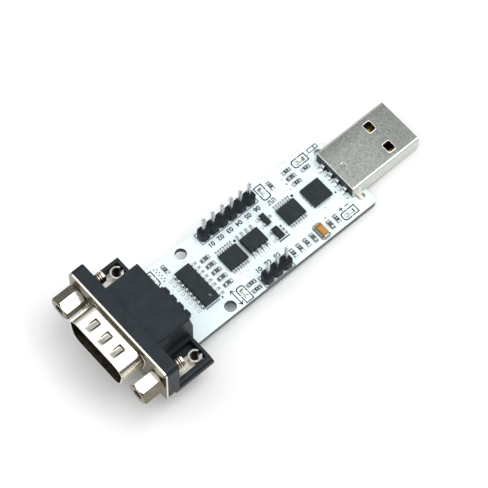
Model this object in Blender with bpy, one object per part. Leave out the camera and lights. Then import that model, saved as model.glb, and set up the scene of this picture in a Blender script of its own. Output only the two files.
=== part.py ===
"""USB to serial adapter module: a narrow circuit board with a nine-way D connector
at one end, a USB plug at the other, and two pin headers along its edges.

Units are metres, +Z is up. X runs from the D connector to the USB plug and Y
runs across the board. The pieces are placed in the board's frame: Z = 0 is the
board's top face, Y = 0 its centre line and X = 0 a datum near its middle. They
all hang on one empty, which moves that frame so that the world's origin lies
under the middle of the whole module, at its lowest point.
"""
import bpy
import bmesh
from math import cos, pi, radians, sin, sqrt, tan
from mathutils import Matrix, Vector

mm = 0.001

# Circuit board
BOARD_THICK = 1.6 * mm
BOARD_CORNER = 1.0 * mm
CHIP_TO_SPACER = 2.15 * mm
CHIP_TO_USB = 2.85 * mm
FIXING_HOLE = 2.7 * mm
FIXING_HOLE_X = -15.35 * mm
FIXING_HOLE_Y = 7.97 * mm
SOLDER_FILM = 0.03 * mm
HOLE_CLEARANCE = 0.3 * mm
FIT = 0.05 * mm
OVERSHOOT = 1.0 * mm

# D connector
SCREW_TO_EDGE = 2.9 * mm
FLANGE_HEIGHT = 12.5 * mm
FLANGE_THICK = 3.0 * mm
FLANGE_CORNER = 1.2 * mm
FLANGE_GAP = 0.3 * mm
SHEET = 0.4 * mm
D_SIDE = 2.91 * mm
D_HEIGHT = 8.36 * mm
D_CORNER = 2.6 * mm
D_SLANT = radians(10)
D_REACH = 5.8 * mm
D_DIMPLE_PITCH = 3.85 * mm
D_DIMPLE = (3.2 * mm, 1.9 * mm, 0.28 * mm)
D_DIMPLE_SETBACK = 1.6 * mm
D_DIMPLE_LIFT = 0.75
INSERT_RISE = 0.5 * mm
HOUSING_DEPTH = 8.9 * mm
HOUSING_SIDE = 2.81 * mm
PIN_HEADROOM = 1.18 * mm
HOUSING_EDGE = 0.25 * mm
HEEL_HEIGHT = 6.6 * mm
HEEL_REACH = 0.8 * mm
CAVITY_WALL = 0.9 * mm
CAVITY_ROOF = 1.7 * mm
PIN_COUNT_UPPER = 5
PIN_COUNT_LOWER = 4
PIN_PITCH = 2.77 * mm
PIN_ROW_GAP = 2.84 * mm
PIN_DIAMETER = 1.0 * mm
PIN_TIP = ((0.0, 0.45), (0.18, 0.82), (0.45, 1.0))
PIN_NECK = 0.3 * mm
PIN_TAIL_DIAMETER = 0.7 * mm
PIN_SETBACK = 1.4 * mm
PIN_TAIL_BELOW = 1.6 * mm
PIN_BEND = 0.9 * mm
ROW_INSET = 1.3 * mm
EAR_HEIGHT = 3.1 * mm
EAR_WALL = 0.8 * mm
EAR_FLOOR = 0.8 * mm
EAR_END_STEP = 0.4 * mm
EAR_BASE_HEIGHT = 1.3 * mm
SPACER_THICK = 1.0 * mm
SPACER_REACH = 3.8 * mm
SPACER_TONGUE = 9.0 * mm
SPACER_NOTCH = 0.5 * mm
SPACER_TEETH = 4
SPACER_TOOTH = (0.15, 0.75, 0.85)

# Jack screws and board locks
SCREW_TO_BLOCK = 4.15 * mm
HEX_FLATS = 4.75 * mm
HEX_LENGTH = 5.2 * mm
HEX_CHAMFER = 0.35 * mm
HEX_FACE_INSET = 0.05 * mm
HEX_TURNS = {"left": 30, "right": 0}
SCREW_THREAD = 2.84 * mm
SCREW_BORE = 2.3 * mm
SCREW_BORE_DEPTH = 4.2 * mm
SHANK_PAST_FLANGE = 3.2 * mm
LOCK_SHEET = 0.4 * mm
LOCK_SIDE_GAP = 0.1 * mm
LOCK_TO_BOARD = 1.1 * mm
LOCK_PLATE_TOP = 9.6 * mm
LOCK_TUBE = 3.0 * mm
LOCK_TUBE_RISE = 1.6 * mm
LOCK_TUBE_SETBACK = 6.6 * mm
LOCK_SLOT = 0.9 * mm
LOCK_BELOW_BOARD = 3.2 * mm
LOCK_TIP = 1.2 * mm
LOCK_TIP_WALL = 0.1 * mm

# USB plug
USB_LENGTH = 18.8 * mm
USB_WIDTH = 12.0 * mm
USB_HEIGHT = 4.5 * mm
USB_SHEET = 0.3 * mm
USB_CORNER = 0.55 * mm
USB_SINK = 1.1 * mm
USB_OVERLAP = 3.45 * mm
USB_WINDOW = (1.95 * mm, 2.45 * mm)
USB_WINDOW_FROM_TIP = 6.1 * mm
USB_WINDOW_Y = 3.1 * mm
USB_MARK = 1.0 * mm
USB_MARK_DEPTH = 0.12 * mm
USB_MARK_FROM_REAR = 2.2 * mm
USB_BLOCK_LENGTH = 6.0 * mm
USB_TONGUE_THICK = 1.85 * mm
USB_TONGUE_SETBACK = 0.8 * mm
USB_TONGUE_NOSE = 0.4 * mm
CONTACT_Y = (-3.5 * mm, -1.0 * mm, 1.0 * mm, 3.5 * mm)
CONTACT_WIDTH = 1.0 * mm
CONTACT_THICK = 0.2 * mm
CONTACT_SETBACK = 1.3 * mm
CONTACT_FOOT = 0.75 * mm
CONTACT_DROP = 0.25 * mm
CONTACT_SLOPE = 0.15 * mm
TAB_WIDTH = 1.4 * mm
TAB_OFFSET = 0.75 * mm
TAB_FROM_REAR = 1.45 * mm
TAB_HEIGHT = 0.45 * mm
TAB_BELOW_BOARD = 0.7 * mm

# Pin headers
PITCH = 2.54 * mm
HEADER_CHAMFER = 0.55 * mm
HEADER_PIN = 0.64 * mm
HEADER_PIN_ABOVE = 6.0 * mm
HEADER_PIN_BELOW = 3.0 * mm
HEADER_TAPER = 0.45 * mm
SIX_WAY_X = -2.63 * mm
SIX_WAY_INSET = 1.95 * mm
THREE_WAY_X = -2.84 * mm
THREE_WAY_INSET = 1.55 * mm

# Chips: length, width, height of the body
CHIP_SMALL = (1.6 * mm, 0.8 * mm, 0.45 * mm)
CHIP_CAP = 0.3 * mm
CHIP_CAP_RISE = 0.03 * mm
CAPACITOR_HEIGHT = 0.75 * mm
LED_BASE = 0.25 * mm
LED_LENS = (1.05 * mm, 0.74 * mm, 0.35 * mm)
TANTALUM = (3.2 * mm, 1.6 * mm, 1.6 * mm)
TANTALUM_TAB = (0.25 * mm, 1.2 * mm, 0.8 * mm)
QFN = (5.0 * mm, 5.0 * mm, 0.85 * mm)
QFN_PAD = (0.25 * mm, 0.4 * mm, 0.2 * mm)
QFN_PITCH = 0.5 * mm
QFN_PADS_A_SIDE = 7
DRAFT = 0.12 * mm
LEAD_ROOT = 0.3 * mm
LEAD_SHOULDER = 0.18
PIN_ONE_DIMPLE = 0.7 * mm
PIN_ONE_DEPTH = 0.1 * mm
PIN_ONE_INSET = 0.85 * mm
PIN_ONE_FROM = 3
CASES = {
    "wide_pitch_16": {"margin": 0.505 * mm, "width": 3.9 * mm, "height": 1.65 * mm, "span": 6.0 * mm,
                      "pitch": 1.27 * mm, "count": (8, 8), "lead": (0.42 * mm, 0.2 * mm, 0.6 * mm)},
    "wide_pitch_8": {"margin": 0.545 * mm, "width": 3.9 * mm, "height": 1.65 * mm, "span": 6.0 * mm,
                     "pitch": 1.27 * mm, "count": (4, 4), "lead": (0.42 * mm, 0.2 * mm, 0.6 * mm)},
    "fine_pitch_14": {"margin": 0.55 * mm, "width": 4.4 * mm, "height": 1.05 * mm, "span": 6.4 * mm,
                      "pitch": 0.65 * mm, "count": (7, 7), "lead": (0.24 * mm, 0.15 * mm, 0.5 * mm)},
    "three_lead": {"margin": 0.5 * mm, "width": 1.35 * mm, "height": 1.0 * mm, "span": 2.5 * mm,
                   "pitch": 1.9 * mm, "count": (1, 2), "lead": (0.42 * mm, 0.14 * mm, 0.25 * mm)},
    "five_lead": {"margin": 0.5 * mm, "width": 1.6 * mm, "height": 1.1 * mm, "span": 2.8 * mm,
                  "pitch": 0.95 * mm, "back_pitch": 1.9 * mm, "count": (3, 2),
                  "lead": (0.4 * mm, 0.15 * mm, 0.3 * mm)},
}

# Where the small parts stand on the board: X, Y and turn about Z
CHIP_ROW_Y = -0.03 * mm
LINE_DRIVER_X = -17.75 * mm
LEADED_CHIPS = {
    "line_driver_chip": (LINE_DRIVER_X, CHIP_ROW_Y, 90, "wide_pitch_16"),
    "bus_driver_chip": (-1.95 * mm, CHIP_ROW_Y, 0, "wide_pitch_8"),
    "logic_chip_1": (-7.65 * mm, CHIP_ROW_Y, 0, "fine_pitch_14"),
    "logic_chip_2": (8.6 * mm, CHIP_ROW_Y, 0, "fine_pitch_14"),
    "transistor": (3.25 * mm, 2.3 * mm, 90, "three_lead"),
    "regulator": (3.25 * mm, -1.85 * mm, 90, "five_lead"),
}
LED_BEHIND_BLOCK = 2.85 * mm
LED_BEHIND_BLOCK_Y = 7.3 * mm
LEDS = {
    "led_bus": (-11.25 * mm, -7.7 * mm, 90),
    "led_logic": (7.15 * mm, 7.55 * mm, 90),
    "led_usb": (18.1 * mm, 8.0 * mm, 0),
    "led_power": (17.95 * mm, -8.2 * mm, 0),
}
RESISTORS = {
    "resistor_led_serial": (-20.2 * mm, 7.35 * mm, 90),
    "resistor_led_bus": (-8.65 * mm, -6.85 * mm, 0),
    "resistor_bus_bias": (-8.65 * mm, -8.65 * mm, 0),
    "resistor_led_logic": (9.5 * mm, 7.55 * mm, 90),
    "resistor_usb_upper": (14.25 * mm, 8.0 * mm, 0),
    "resistor_usb_lower": (14.25 * mm, 4.55 * mm, 0),
    "resistor_led_usb": (17.9 * mm, 5.9 * mm, 0),
    "resistor_edge_1": (2.7 * mm, -7.5 * mm, 90),
    "resistor_edge_2": (4.55 * mm, -7.5 * mm, 90),
    "resistor_edge_3": (6.45 * mm, -7.5 * mm, 90),
    "resistor_led_power": (14.95 * mm, -7.5 * mm, 90),
}
CAPACITORS = {
    "capacitor_usb": (14.2 * mm, 6.25 * mm, 0),
    "capacitor_edge": (8.25 * mm, -7.55 * mm, 90),
    "capacitor_supply": (13.05 * mm, -7.6 * mm, 90),
}
PUMP_CAPACITORS = 5
PUMP_CAPACITOR_X = -12.25 * mm
PUMP_CAPACITOR_Y = 3.7 * mm
PUMP_CAPACITOR_PITCH = 1.84 * mm
TANTALUM_X = 10.55 * mm
TANTALUM_Y = -7.5 * mm
QFN_X = 15.6 * mm
QFN_Y = -0.15 * mm

# Widths, heights and stations that follow from the sizes above
PIN_ROW_WIDTH = PIN_PITCH * (PIN_COUNT_UPPER - 1)
D_WIDTH = PIN_ROW_WIDTH + 2 * D_SIDE
HOUSING_WIDTH = PIN_ROW_WIDTH + 2 * HOUSING_SIDE
SCREW_SPACING = HOUSING_WIDTH + 2 * SCREW_TO_BLOCK
FLANGE_WIDTH = SCREW_SPACING + 2 * SCREW_TO_EDGE
BOARD_WIDTH = SCREW_SPACING - LOCK_TUBE - 2 * LOCK_TO_BOARD
SIX_WAY_Y = BOARD_WIDTH / 2 - SIX_WAY_INSET
THREE_WAY_Y = THREE_WAY_INSET - BOARD_WIDTH / 2
LOCK_WIDTH = 2 * (SCREW_TO_EDGE - EAR_END_STEP - EAR_WALL - LOCK_SIDE_GAP)
D_CENTRE_Z = FLANGE_HEIGHT / 2
LINE_DRIVER_EDGE_X = LINE_DRIVER_X - CASES["wide_pitch_16"]["span"] / 2
HOUSING_REAR_X = LINE_DRIVER_EDGE_X - CHIP_TO_SPACER - SPACER_REACH
FLANGE_BACK_X = HOUSING_REAR_X - HOUSING_DEPTH
BOARD_START_X = FLANGE_BACK_X + FLANGE_GAP
FLANGE_FRONT_X = FLANGE_BACK_X - FLANGE_THICK
SHEET_FRONT_X = FLANGE_FRONT_X - FIT - SHEET
D_LIP_X = SHEET_FRONT_X - D_REACH
USB_REAR_X = QFN_X + QFN[0] / 2 + CHIP_TO_USB
BOARD_END_X = USB_REAR_X + USB_OVERLAP
USB_TIP_X = USB_REAR_X + USB_LENGTH
USB_BOTTOM_Z = -USB_SINK
USB_TOP_Z = USB_BOTTOM_Z + USB_HEIGHT
LOCK_TIP_Z = -BOARD_THICK - LOCK_BELOW_BOARD
UPPER_ROW_Z = D_CENTRE_Z + PIN_ROW_GAP / 2
LOWER_ROW_Z = D_CENTRE_Z - PIN_ROW_GAP / 2
HOUSING_HEIGHT = UPPER_ROW_Z + PIN_TAIL_DIAMETER / 2 + PIN_HEADROOM + CAVITY_ROOF
REAR_ROW_X = HOUSING_REAR_X - CAVITY_WALL - ROW_INSET / 2
FRONT_ROW_X = REAR_ROW_X - PIN_ROW_GAP
CAVITY_FRONT_X = FRONT_ROW_X - ROW_INSET
LEDS["led_serial"] = (HOUSING_REAR_X + LED_BEHIND_BLOCK, LED_BEHIND_BLOCK_Y, 90)
HOLE_SIDES = 16

for old in list(bpy.data.objects):
    bpy.data.objects.remove(old)

parts = bpy.data.collections.new("usb_serial_adapter")
cutters = bpy.data.collections.new("cutters")
for collection in (parts, cutters):
    bpy.context.scene.collection.children.link(collection)

frame = bpy.data.objects.new("module_frame", None)
frame.location = (-(D_LIP_X + USB_TIP_X) / 2, 0, -LOCK_TIP_Z)
parts.objects.link(frame)


def material(name, colour, roughness, metallic=0.0):
    """A plain Principled material."""
    made = bpy.data.materials.new(name)
    made.use_nodes = True
    shader = made.node_tree.nodes["Principled BSDF"]
    shader.inputs["Base Color"].default_value = (*colour, 1)
    shader.inputs["Roughness"].default_value = roughness
    shader.inputs["Metallic"].default_value = metallic
    return made


def add_part(name, mesh, finish):
    """Put a finished mesh in the module as one named piece."""
    mesh.materials.clear()
    mesh.materials.append(finish)
    piece = bpy.data.objects.new(name, mesh)
    piece.parent = frame
    parts.objects.link(piece)
    return piece


def combine(piece, mesh, operation):
    """Join a mesh to a piece, cut it away, or keep only what lies in both."""
    cutter = bpy.data.objects.new(piece.name + "_" + operation.lower(), mesh)
    cutter.parent = frame
    cutter.hide_render = True
    cutter.display_type = "WIRE"
    cutters.objects.link(cutter)
    step = piece.modifiers.new(cutter.name, "BOOLEAN")
    step.operation = operation
    step.solver = "EXACT"
    step.object = cutter
    return step


def mesh_of(shape, name):
    mesh = bpy.data.meshes.new(name)
    shape.to_mesh(mesh)
    shape.free()
    return mesh


def add_box(shape, low, high):
    """Add a box between two opposite corners to a bmesh."""
    size = [abs(b - a) for a, b in zip(low, high)]
    place = Matrix.Translation((Vector(low) + Vector(high)) / 2) @ Matrix.Diagonal((*size, 1))
    bmesh.ops.create_cube(shape, size=1, matrix=place)


def boxes(name, corners):
    """One mesh of separate boxes, each given by its two corners."""
    shape = bmesh.new()
    for low, high in corners:
        add_box(shape, low, high)
    return mesh_of(shape, name)


def rods(name, ends, diameter, sides=HOLE_SIDES):
    """One mesh of separate cylinders, each given by the centres of its two ends."""
    shape = bmesh.new()
    for start, stop in ends:
        start, stop = Vector(start), Vector(stop)
        along = stop - start
        turn = along.to_track_quat("Z", "Y").to_matrix().to_4x4()
        place = Matrix.Translation((start + stop) / 2) @ turn
        bmesh.ops.create_cone(shape, cap_ends=True, segments=sides, radius1=diameter / 2,
                              radius2=diameter / 2, depth=along.length, matrix=place)
    return mesh_of(shape, name)


def mesh_from_curve(curve, place):
    """The closed mesh that a curve with filled ends makes, moved by a matrix."""
    source = bpy.data.objects.new(curve.name, curve)
    parts.objects.link(source)
    bpy.context.view_layer.update()
    viewed = source.evaluated_get(bpy.context.evaluated_depsgraph_get())
    mesh = bpy.data.meshes.new_from_object(viewed)
    bpy.data.objects.remove(source)
    bpy.data.curves.remove(curve)
    shape = bmesh.new()
    shape.from_mesh(mesh)
    bmesh.ops.remove_doubles(shape, verts=shape.verts, dist=0.001 * mm)
    shape.transform(place)
    shape.normal_update()
    bmesh.ops.recalc_face_normals(shape, faces=shape.faces)
    shape.to_mesh(mesh)
    shape.free()
    return mesh


# Frames for flat outlines: the outline's own X and Y, and the way it is thickened
FLAT = Matrix.Identity(4)
FACING_X = Matrix(((0, 0, 1, 0), (1, 0, 0, 0), (0, 1, 0, 0), (0, 0, 0, 1)))
FACING_Y = Matrix(((1, 0, 0, 0), (0, 0, 1, 0), (0, 1, 0, 0), (0, 0, 0, 1)))


def plate(name, outlines, low, high, facing=FLAT):
    """Thicken a flat outline from low to high. Outlines inside the first are holes."""
    curve = bpy.data.curves.new(name, "CURVE")
    curve.dimensions = "2D"
    curve.fill_mode = "BOTH"
    curve.extrude = (high - low) / 2
    for outline in outlines:
        spline = curve.splines.new("POLY")
        spline.points.add(len(outline) - 1)
        for point, (u, v) in zip(spline.points, outline):
            point.co = (u, v, 0, 1)
        spline.use_cyclic_u = True
    return mesh_from_curve(curve, facing @ Matrix.Translation((0, 0, (low + high) / 2)))


def arc(centre, radius, start, stop, steps):
    """Points along an arc, with its angles in degrees."""
    turns = [radians(start + (stop - start) * i / steps) for i in range(steps + 1)]
    return [(centre[0] + radius * cos(t), centre[1] + radius * sin(t)) for t in turns]


def circle(x, y, diameter, sides=HOLE_SIDES):
    return arc((x, y), diameter / 2, 0, 360 - 360 / sides, sides - 1)


def rounded(low, high, radius, steps=3):
    """A rectangle with round corners, given by two corners."""
    (x0, y0), (x1, y1) = low, high
    return (arc((x1 - radius, y0 + radius), radius, -90, 0, steps)
            + arc((x1 - radius, y1 - radius), radius, 0, 90, steps)
            + arc((x0 + radius, y1 - radius), radius, 90, 180, steps)
            + arc((x0 + radius, y0 + radius), radius, 180, 270, steps))


def d_outline(inset, steps=5):
    """The D of the connector, wide side up, drawn in a smaller size by an inset."""
    half, top = D_WIDTH / 2 - inset, D_CENTRE_Z + D_HEIGHT / 2 - inset
    low = D_CENTRE_Z - D_HEIGHT / 2 + inset
    radius = D_CORNER - inset
    slant = (top - low - 2 * radius) * tan(D_SLANT)
    lower = half - radius - slant
    tilt = D_SLANT * 180 / pi
    right = (arc((half - radius, top - radius), radius, 90, -tilt, steps)
             + arc((lower, low + radius), radius, -tilt, -90, steps))
    return right + [(-y, z) for y, z in reversed(right)]


def strip(path, thickness):
    """The outline of a bent strip of sheet that lies to the left of its path."""
    path = [Vector(point) for point in path]
    left = []
    for i, point in enumerate(path):
        before = (point - path[i - 1]).normalized() if i else None
        after = (path[i + 1] - point).normalized() if i + 1 < len(path) else None
        before, after = before or after, after or before
        side = Vector((-before.y - after.y, before.x + after.x)).normalized()
        left.append(point + side * thickness / side.dot(Vector((-before.y, before.x))))
    return [tuple(p) for p in path] + [tuple(p) for p in reversed(left)]


def joined(name, meshes):
    """Several meshes as one mesh of separate bodies."""
    shape = bmesh.new()
    for mesh in meshes:
        shape.from_mesh(mesh)
    return mesh_of(shape, name)


def smooth(piece, angle=35):
    """Shade a round piece smooth, with its real edges kept sharp."""
    piece.data.shade_smooth()
    piece.data.set_sharp_from_angle(angle=radians(angle))


def spread(count, pitch):
    """Places of a centred row."""
    return [pitch * (i - (count - 1) / 2) for i in range(count)]


def header_pins(count, x, y):
    """The places of a header's pins."""
    return [(x + along, y) for along in spread(count, PITCH)]


def d_pin_places():
    """Y, contact height and tail station of the nine contacts."""
    upper = [(y, UPPER_ROW_Z, REAR_ROW_X) for y in spread(PIN_COUNT_UPPER, PIN_PITCH)]
    lower = [(y, LOWER_ROW_Z, FRONT_ROW_X) for y in spread(PIN_COUNT_LOWER, PIN_PITCH)]
    return upper + lower


def make_board(finish):
    """The bare board, with its fixing holes, pin holes and the plug's notch."""
    start, half = BOARD_START_X, BOARD_WIDTH / 2
    notch = USB_WIDTH / 2 + FIT
    notch_x = USB_REAR_X - FIT
    outline = (arc((BOARD_END_X - BOARD_CORNER, half - BOARD_CORNER), BOARD_CORNER, 0, 90, 4)
               + [(start, half), (start, -half)]
               + arc((BOARD_END_X - BOARD_CORNER, BOARD_CORNER - half), BOARD_CORNER, -90, 0, 4)
               + [(BOARD_END_X, -notch), (notch_x, -notch), (notch_x, notch), (BOARD_END_X, notch)])
    holes = [circle(FIXING_HOLE_X, side * FIXING_HOLE_Y, FIXING_HOLE, 24) for side in (-1, 1)]
    for y, _, x in d_pin_places():
        holes.append(circle(x, y, PIN_TAIL_DIAMETER + HOLE_CLEARANCE, 10))
    for x, y in header_pins(6, SIX_WAY_X, SIX_WAY_Y) + header_pins(3, THREE_WAY_X, THREE_WAY_Y):
        holes.append(circle(x, y, HEADER_PIN * sqrt(2) + HOLE_CLEARANCE / 2, 12))
    tab_x = USB_REAR_X + TAB_FROM_REAR
    for side in (-1, 1):
        tab_y = side * (USB_WIDTH / 2 + TAB_OFFSET - USB_SHEET / 2)
        reach_x = (TAB_WIDTH + HOLE_CLEARANCE) / 2
        reach_y = (USB_SHEET + HOLE_CLEARANCE) / 2
        holes.append([(tab_x - reach_x, tab_y - reach_y), (tab_x + reach_x, tab_y - reach_y),
                      (tab_x + reach_x, tab_y + reach_y), (tab_x - reach_x, tab_y + reach_y)])
    board = add_part("board", plate("board", [outline] + holes, -BOARD_THICK, 0), finish)
    smooth(board)


def make_housing(finish):
    """The D connector's moulding: flange, block over the contacts and two ears."""
    half = FLANGE_WIDTH / 2
    flange = plate("dsub_housing", [rounded((-half, SOLDER_FILM), (half, FLANGE_HEIGHT), FLANGE_CORNER)],
                   FLANGE_FRONT_X, FLANGE_BACK_X, FACING_X)
    housing = add_part("dsub_housing", flange, finish)

    wide = HOUSING_WIDTH / 2
    edge = HOUSING_EDGE
    section = [(-wide, SOLDER_FILM), (wide, SOLDER_FILM), (wide, HOUSING_HEIGHT - edge),
               (wide - edge, HOUSING_HEIGHT), (edge - wide, HOUSING_HEIGHT), (-wide, HOUSING_HEIGHT - edge)]
    root_x = FLANGE_BACK_X - OVERSHOOT
    combine(housing, plate("block", [section], root_x, HOUSING_REAR_X, FACING_X), "UNION")
    heel = [(root_x, SOLDER_FILM), (HOUSING_REAR_X + HEEL_REACH, SOLDER_FILM),
            (HOUSING_REAR_X + HEEL_REACH, HEEL_HEIGHT), (HOUSING_REAR_X, HOUSING_HEIGHT - edge),
            (root_x, HOUSING_HEIGHT - edge)]
    combine(housing, plate("heel", [heel], -wide, wide, FACING_Y), "UNION")

    ear_half = half - EAR_END_STEP
    ears = boxes("ears", [((root_x, side * (wide - OVERSHOOT), SOLDER_FILM),
                           (HOUSING_REAR_X, side * ear_half, EAR_HEIGHT)) for side in (-1, 1)])
    combine(housing, ears, "UNION")
    ear_bases = boxes("ear_bases", [((root_x, side * (wide - OVERSHOOT), SOLDER_FILM),
                                     (HOUSING_REAR_X + EAR_END_STEP, side * half, EAR_BASE_HEIGHT))
                                    for side in (-1, 1)])
    combine(housing, ear_bases, "UNION")

    insert_back = FLANGE_FRONT_X + OVERSHOOT
    insert = plate("insert", [d_outline(SHEET + FIT)], SHEET_FRONT_X - INSERT_RISE, insert_back, FACING_X)
    combine(housing, insert, "UNION")

    cavity_half = wide - CAVITY_WALL
    tongue_half = SPACER_TONGUE / 2 + FIT
    hollow = boxes("hollow", [((CAVITY_FRONT_X, -cavity_half, -OVERSHOOT),
                               (HOUSING_REAR_X - CAVITY_WALL, cavity_half, HOUSING_HEIGHT - CAVITY_ROOF))])
    combine(housing, hollow, "DIFFERENCE")
    slot = boxes("slot", [((HOUSING_REAR_X - CAVITY_WALL - OVERSHOOT, -tongue_half, -OVERSHOOT),
                           (HOUSING_REAR_X + HEEL_REACH + OVERSHOOT, tongue_half, SPACER_THICK + HOLE_CLEARANCE))])
    combine(housing, slot, "DIFFERENCE")

    trays = boxes("trays", [((FLANGE_BACK_X, side * (wide + EAR_WALL), EAR_FLOOR),
                             (HOUSING_REAR_X - EAR_WALL, side * (ear_half - EAR_WALL), EAR_HEIGHT + OVERSHOOT))
                            for side in (-1, 1)])
    combine(housing, trays, "DIFFERENCE")

    bores = rods("bores", [((SHEET_FRONT_X - INSERT_RISE - OVERSHOOT, y, z), (CAVITY_FRONT_X + OVERSHOOT, y, z))
                           for y, z, _ in d_pin_places()], PIN_DIAMETER + HOLE_CLEARANCE, 10)
    combine(housing, bores, "DIFFERENCE")

    screw_y = SCREW_SPACING / 2
    screws = rods("screw_holes", [((FLANGE_FRONT_X - OVERSHOOT, side * screw_y, D_CENTRE_Z),
                                   (FLANGE_BACK_X + OVERSHOOT, side * screw_y, D_CENTRE_Z))
                                  for side in (-1, 1)], SCREW_THREAD + HOLE_CLEARANCE)
    combine(housing, screws, "DIFFERENCE")
    lock_x = FLANGE_BACK_X + LOCK_TUBE_SETBACK
    locks = rods("lock_holes", [((lock_x, side * screw_y, -OVERSHOOT), (lock_x, side * screw_y, EAR_HEIGHT))
                                for side in (-1, 1)], LOCK_TUBE + HOLE_CLEARANCE)
    combine(housing, locks, "DIFFERENCE")


def make_shell(finish):
    """The drawn steel front of the D connector, with its flange and dimples."""
    half = FLANGE_WIDTH / 2
    screw_y = SCREW_SPACING / 2
    holes = [circle(side * screw_y, D_CENTRE_Z, SCREW_THREAD + HOLE_CLEARANCE) for side in (-1, 1)]
    outline = rounded((-half, SOLDER_FILM), (half, FLANGE_HEIGHT), FLANGE_CORNER)
    sheet = plate("dsub_shell", [outline, d_outline(SHEET)] + holes, SHEET_FRONT_X, SHEET_FRONT_X + SHEET, FACING_X)
    shell = add_part("dsub_shell", sheet, finish)
    root_x = SHEET_FRONT_X + SHEET / 2
    tube = plate("tube", [d_outline(0), d_outline(SHEET)], D_LIP_X, root_x, FACING_X)
    combine(shell, tube, "UNION")

    long, wide, deep = D_DIMPLE
    for depth, operation in ((SHEET, "UNION"), (0, "DIFFERENCE")):
        shape = bmesh.new()
        for i in (-1, 0, 1):
            centre = (SHEET_FRONT_X - D_DIMPLE_SETBACK - long / 2, D_DIMPLE_PITCH * i,
                      D_CENTRE_Z + D_HEIGHT / 2 - depth * D_DIMPLE_LIFT)
            place = Matrix.Translation(centre) @ Matrix.Diagonal((long / 2, wide / 2, deep, 1))
            bmesh.ops.create_uvsphere(shape, u_segments=12, v_segments=6, radius=1, matrix=place)
        combine(shell, mesh_of(shape, "dimples"), operation)
    smooth(shell)


def make_contact(name, y, z, tail_x, finish):
    """One D contact: a round pin in front, a wire behind that turns down to the board."""
    tip = D_LIP_X + PIN_SETBACK
    wire = PIN_TAIL_DIAMETER / PIN_DIAMETER
    step_x = FLANGE_FRONT_X
    points = [((tip + along * PIN_DIAMETER, z), share) for along, share in PIN_TIP]
    points += [((step_x, z), 1.0), ((step_x + PIN_NECK, z), wire)]
    bend = arc((tail_x - PIN_BEND, z - PIN_BEND), PIN_BEND, 90, 0, 4)
    points += [(point, wire) for point in bend]
    points.append(((tail_x, -BOARD_THICK - PIN_TAIL_BELOW), wire))
    curve = bpy.data.curves.new(name, "CURVE")
    curve.dimensions = "3D"
    curve.bevel_depth = PIN_DIAMETER / 2
    curve.bevel_resolution = 2
    curve.use_fill_caps = True
    spline = curve.splines.new("POLY")
    spline.points.add(len(points) - 1)
    for point, ((x, height), radius) in zip(spline.points, points):
        point.co = (x, y, height, 1)
        point.radius = radius
    pin = add_part(name, mesh_from_curve(curve, FLAT), finish)
    smooth(pin, 50)


def make_spacer(finish):
    """The thin plate that spaces the contact tails, with its tongue behind the block."""
    half = HOUSING_WIDTH / 2 - CAVITY_WALL - FIT
    tongue = SPACER_TONGUE / 2
    front = CAVITY_FRONT_X + FIT
    shoulder = HOUSING_REAR_X - CAVITY_WALL - FIT
    end = HOUSING_REAR_X + SPACER_REACH
    width = SPACER_TONGUE / SPACER_TEETH
    rise, fall, foot = SPACER_TOOTH
    rear = []
    for i in range(SPACER_TEETH):
        low = -tongue + width * i
        rear += [(end, low + rise * width), (end, low + fall * width)]
        rear += [(end - SPACER_NOTCH, low + foot * width), (end - SPACER_NOTCH, low + width)]
    outline = ([(front, half), (front, -half), (shoulder, -half), (shoulder, -tongue),
                (end - SPACER_NOTCH, -tongue)] + rear + [(shoulder, tongue), (shoulder, half)])
    holes = [circle(x, y, PIN_TAIL_DIAMETER + HOLE_CLEARANCE, 10) for y, _, x in d_pin_places()]
    add_part("pin_spacer", plate("pin_spacer", [outline] + holes, SOLDER_FILM, SPACER_THICK), finish)


def make_jack_screw(name, side, turn, finish):
    """A hexagon jack screw: chamfered hexagon, tapped front and a shank through the flange."""
    y, z = side * SCREW_SPACING / 2, D_CENTRE_Z
    back = SHEET_FRONT_X - FIT
    front = back - HEX_LENGTH
    corner = HEX_FLATS / 2 / cos(pi / 6)
    hexagon = [(y + u, z + v) for u, v in arc((0, 0), corner, turn, turn + 300, 5)]
    screw = add_part(name, plate(name, [hexagon], front, back, FACING_X), finish)

    blank = bmesh.new()
    face = HEX_FLATS / 2 - HEX_FACE_INSET
    wide = corner + HEX_FACE_INSET
    profile = [(0, front - FIT), (face, front - FIT), (wide, front + HEX_CHAMFER), (wide, back - HEX_CHAMFER),
               (face, back + FIT), (0, back + FIT)]
    rim = [blank.verts.new((x, y, z + r)) for r, x in profile]
    for first, second in zip(rim, rim[1:]):
        blank.edges.new((first, second))
    bmesh.ops.spin(blank, geom=blank.verts[:] + blank.edges[:], cent=(0, y, z), axis=(1, 0, 0),
                   angle=2 * pi, steps=24)
    bmesh.ops.remove_doubles(blank, verts=blank.verts, dist=0.001 * mm)
    bmesh.ops.recalc_face_normals(blank, faces=blank.faces)
    combine(screw, mesh_of(blank, "turned_blank"), "INTERSECT")

    shank = rods("shank", [((back - OVERSHOOT, y, z), (FLANGE_BACK_X + SHANK_PAST_FLANGE, y, z))], SCREW_THREAD)
    combine(screw, shank, "UNION")
    bore = rods("bore", [((front - OVERSHOOT, y, z), (front + SCREW_BORE_DEPTH, y, z))], SCREW_BORE)
    combine(screw, bore, "DIFFERENCE")
    smooth(screw, 25)


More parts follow.
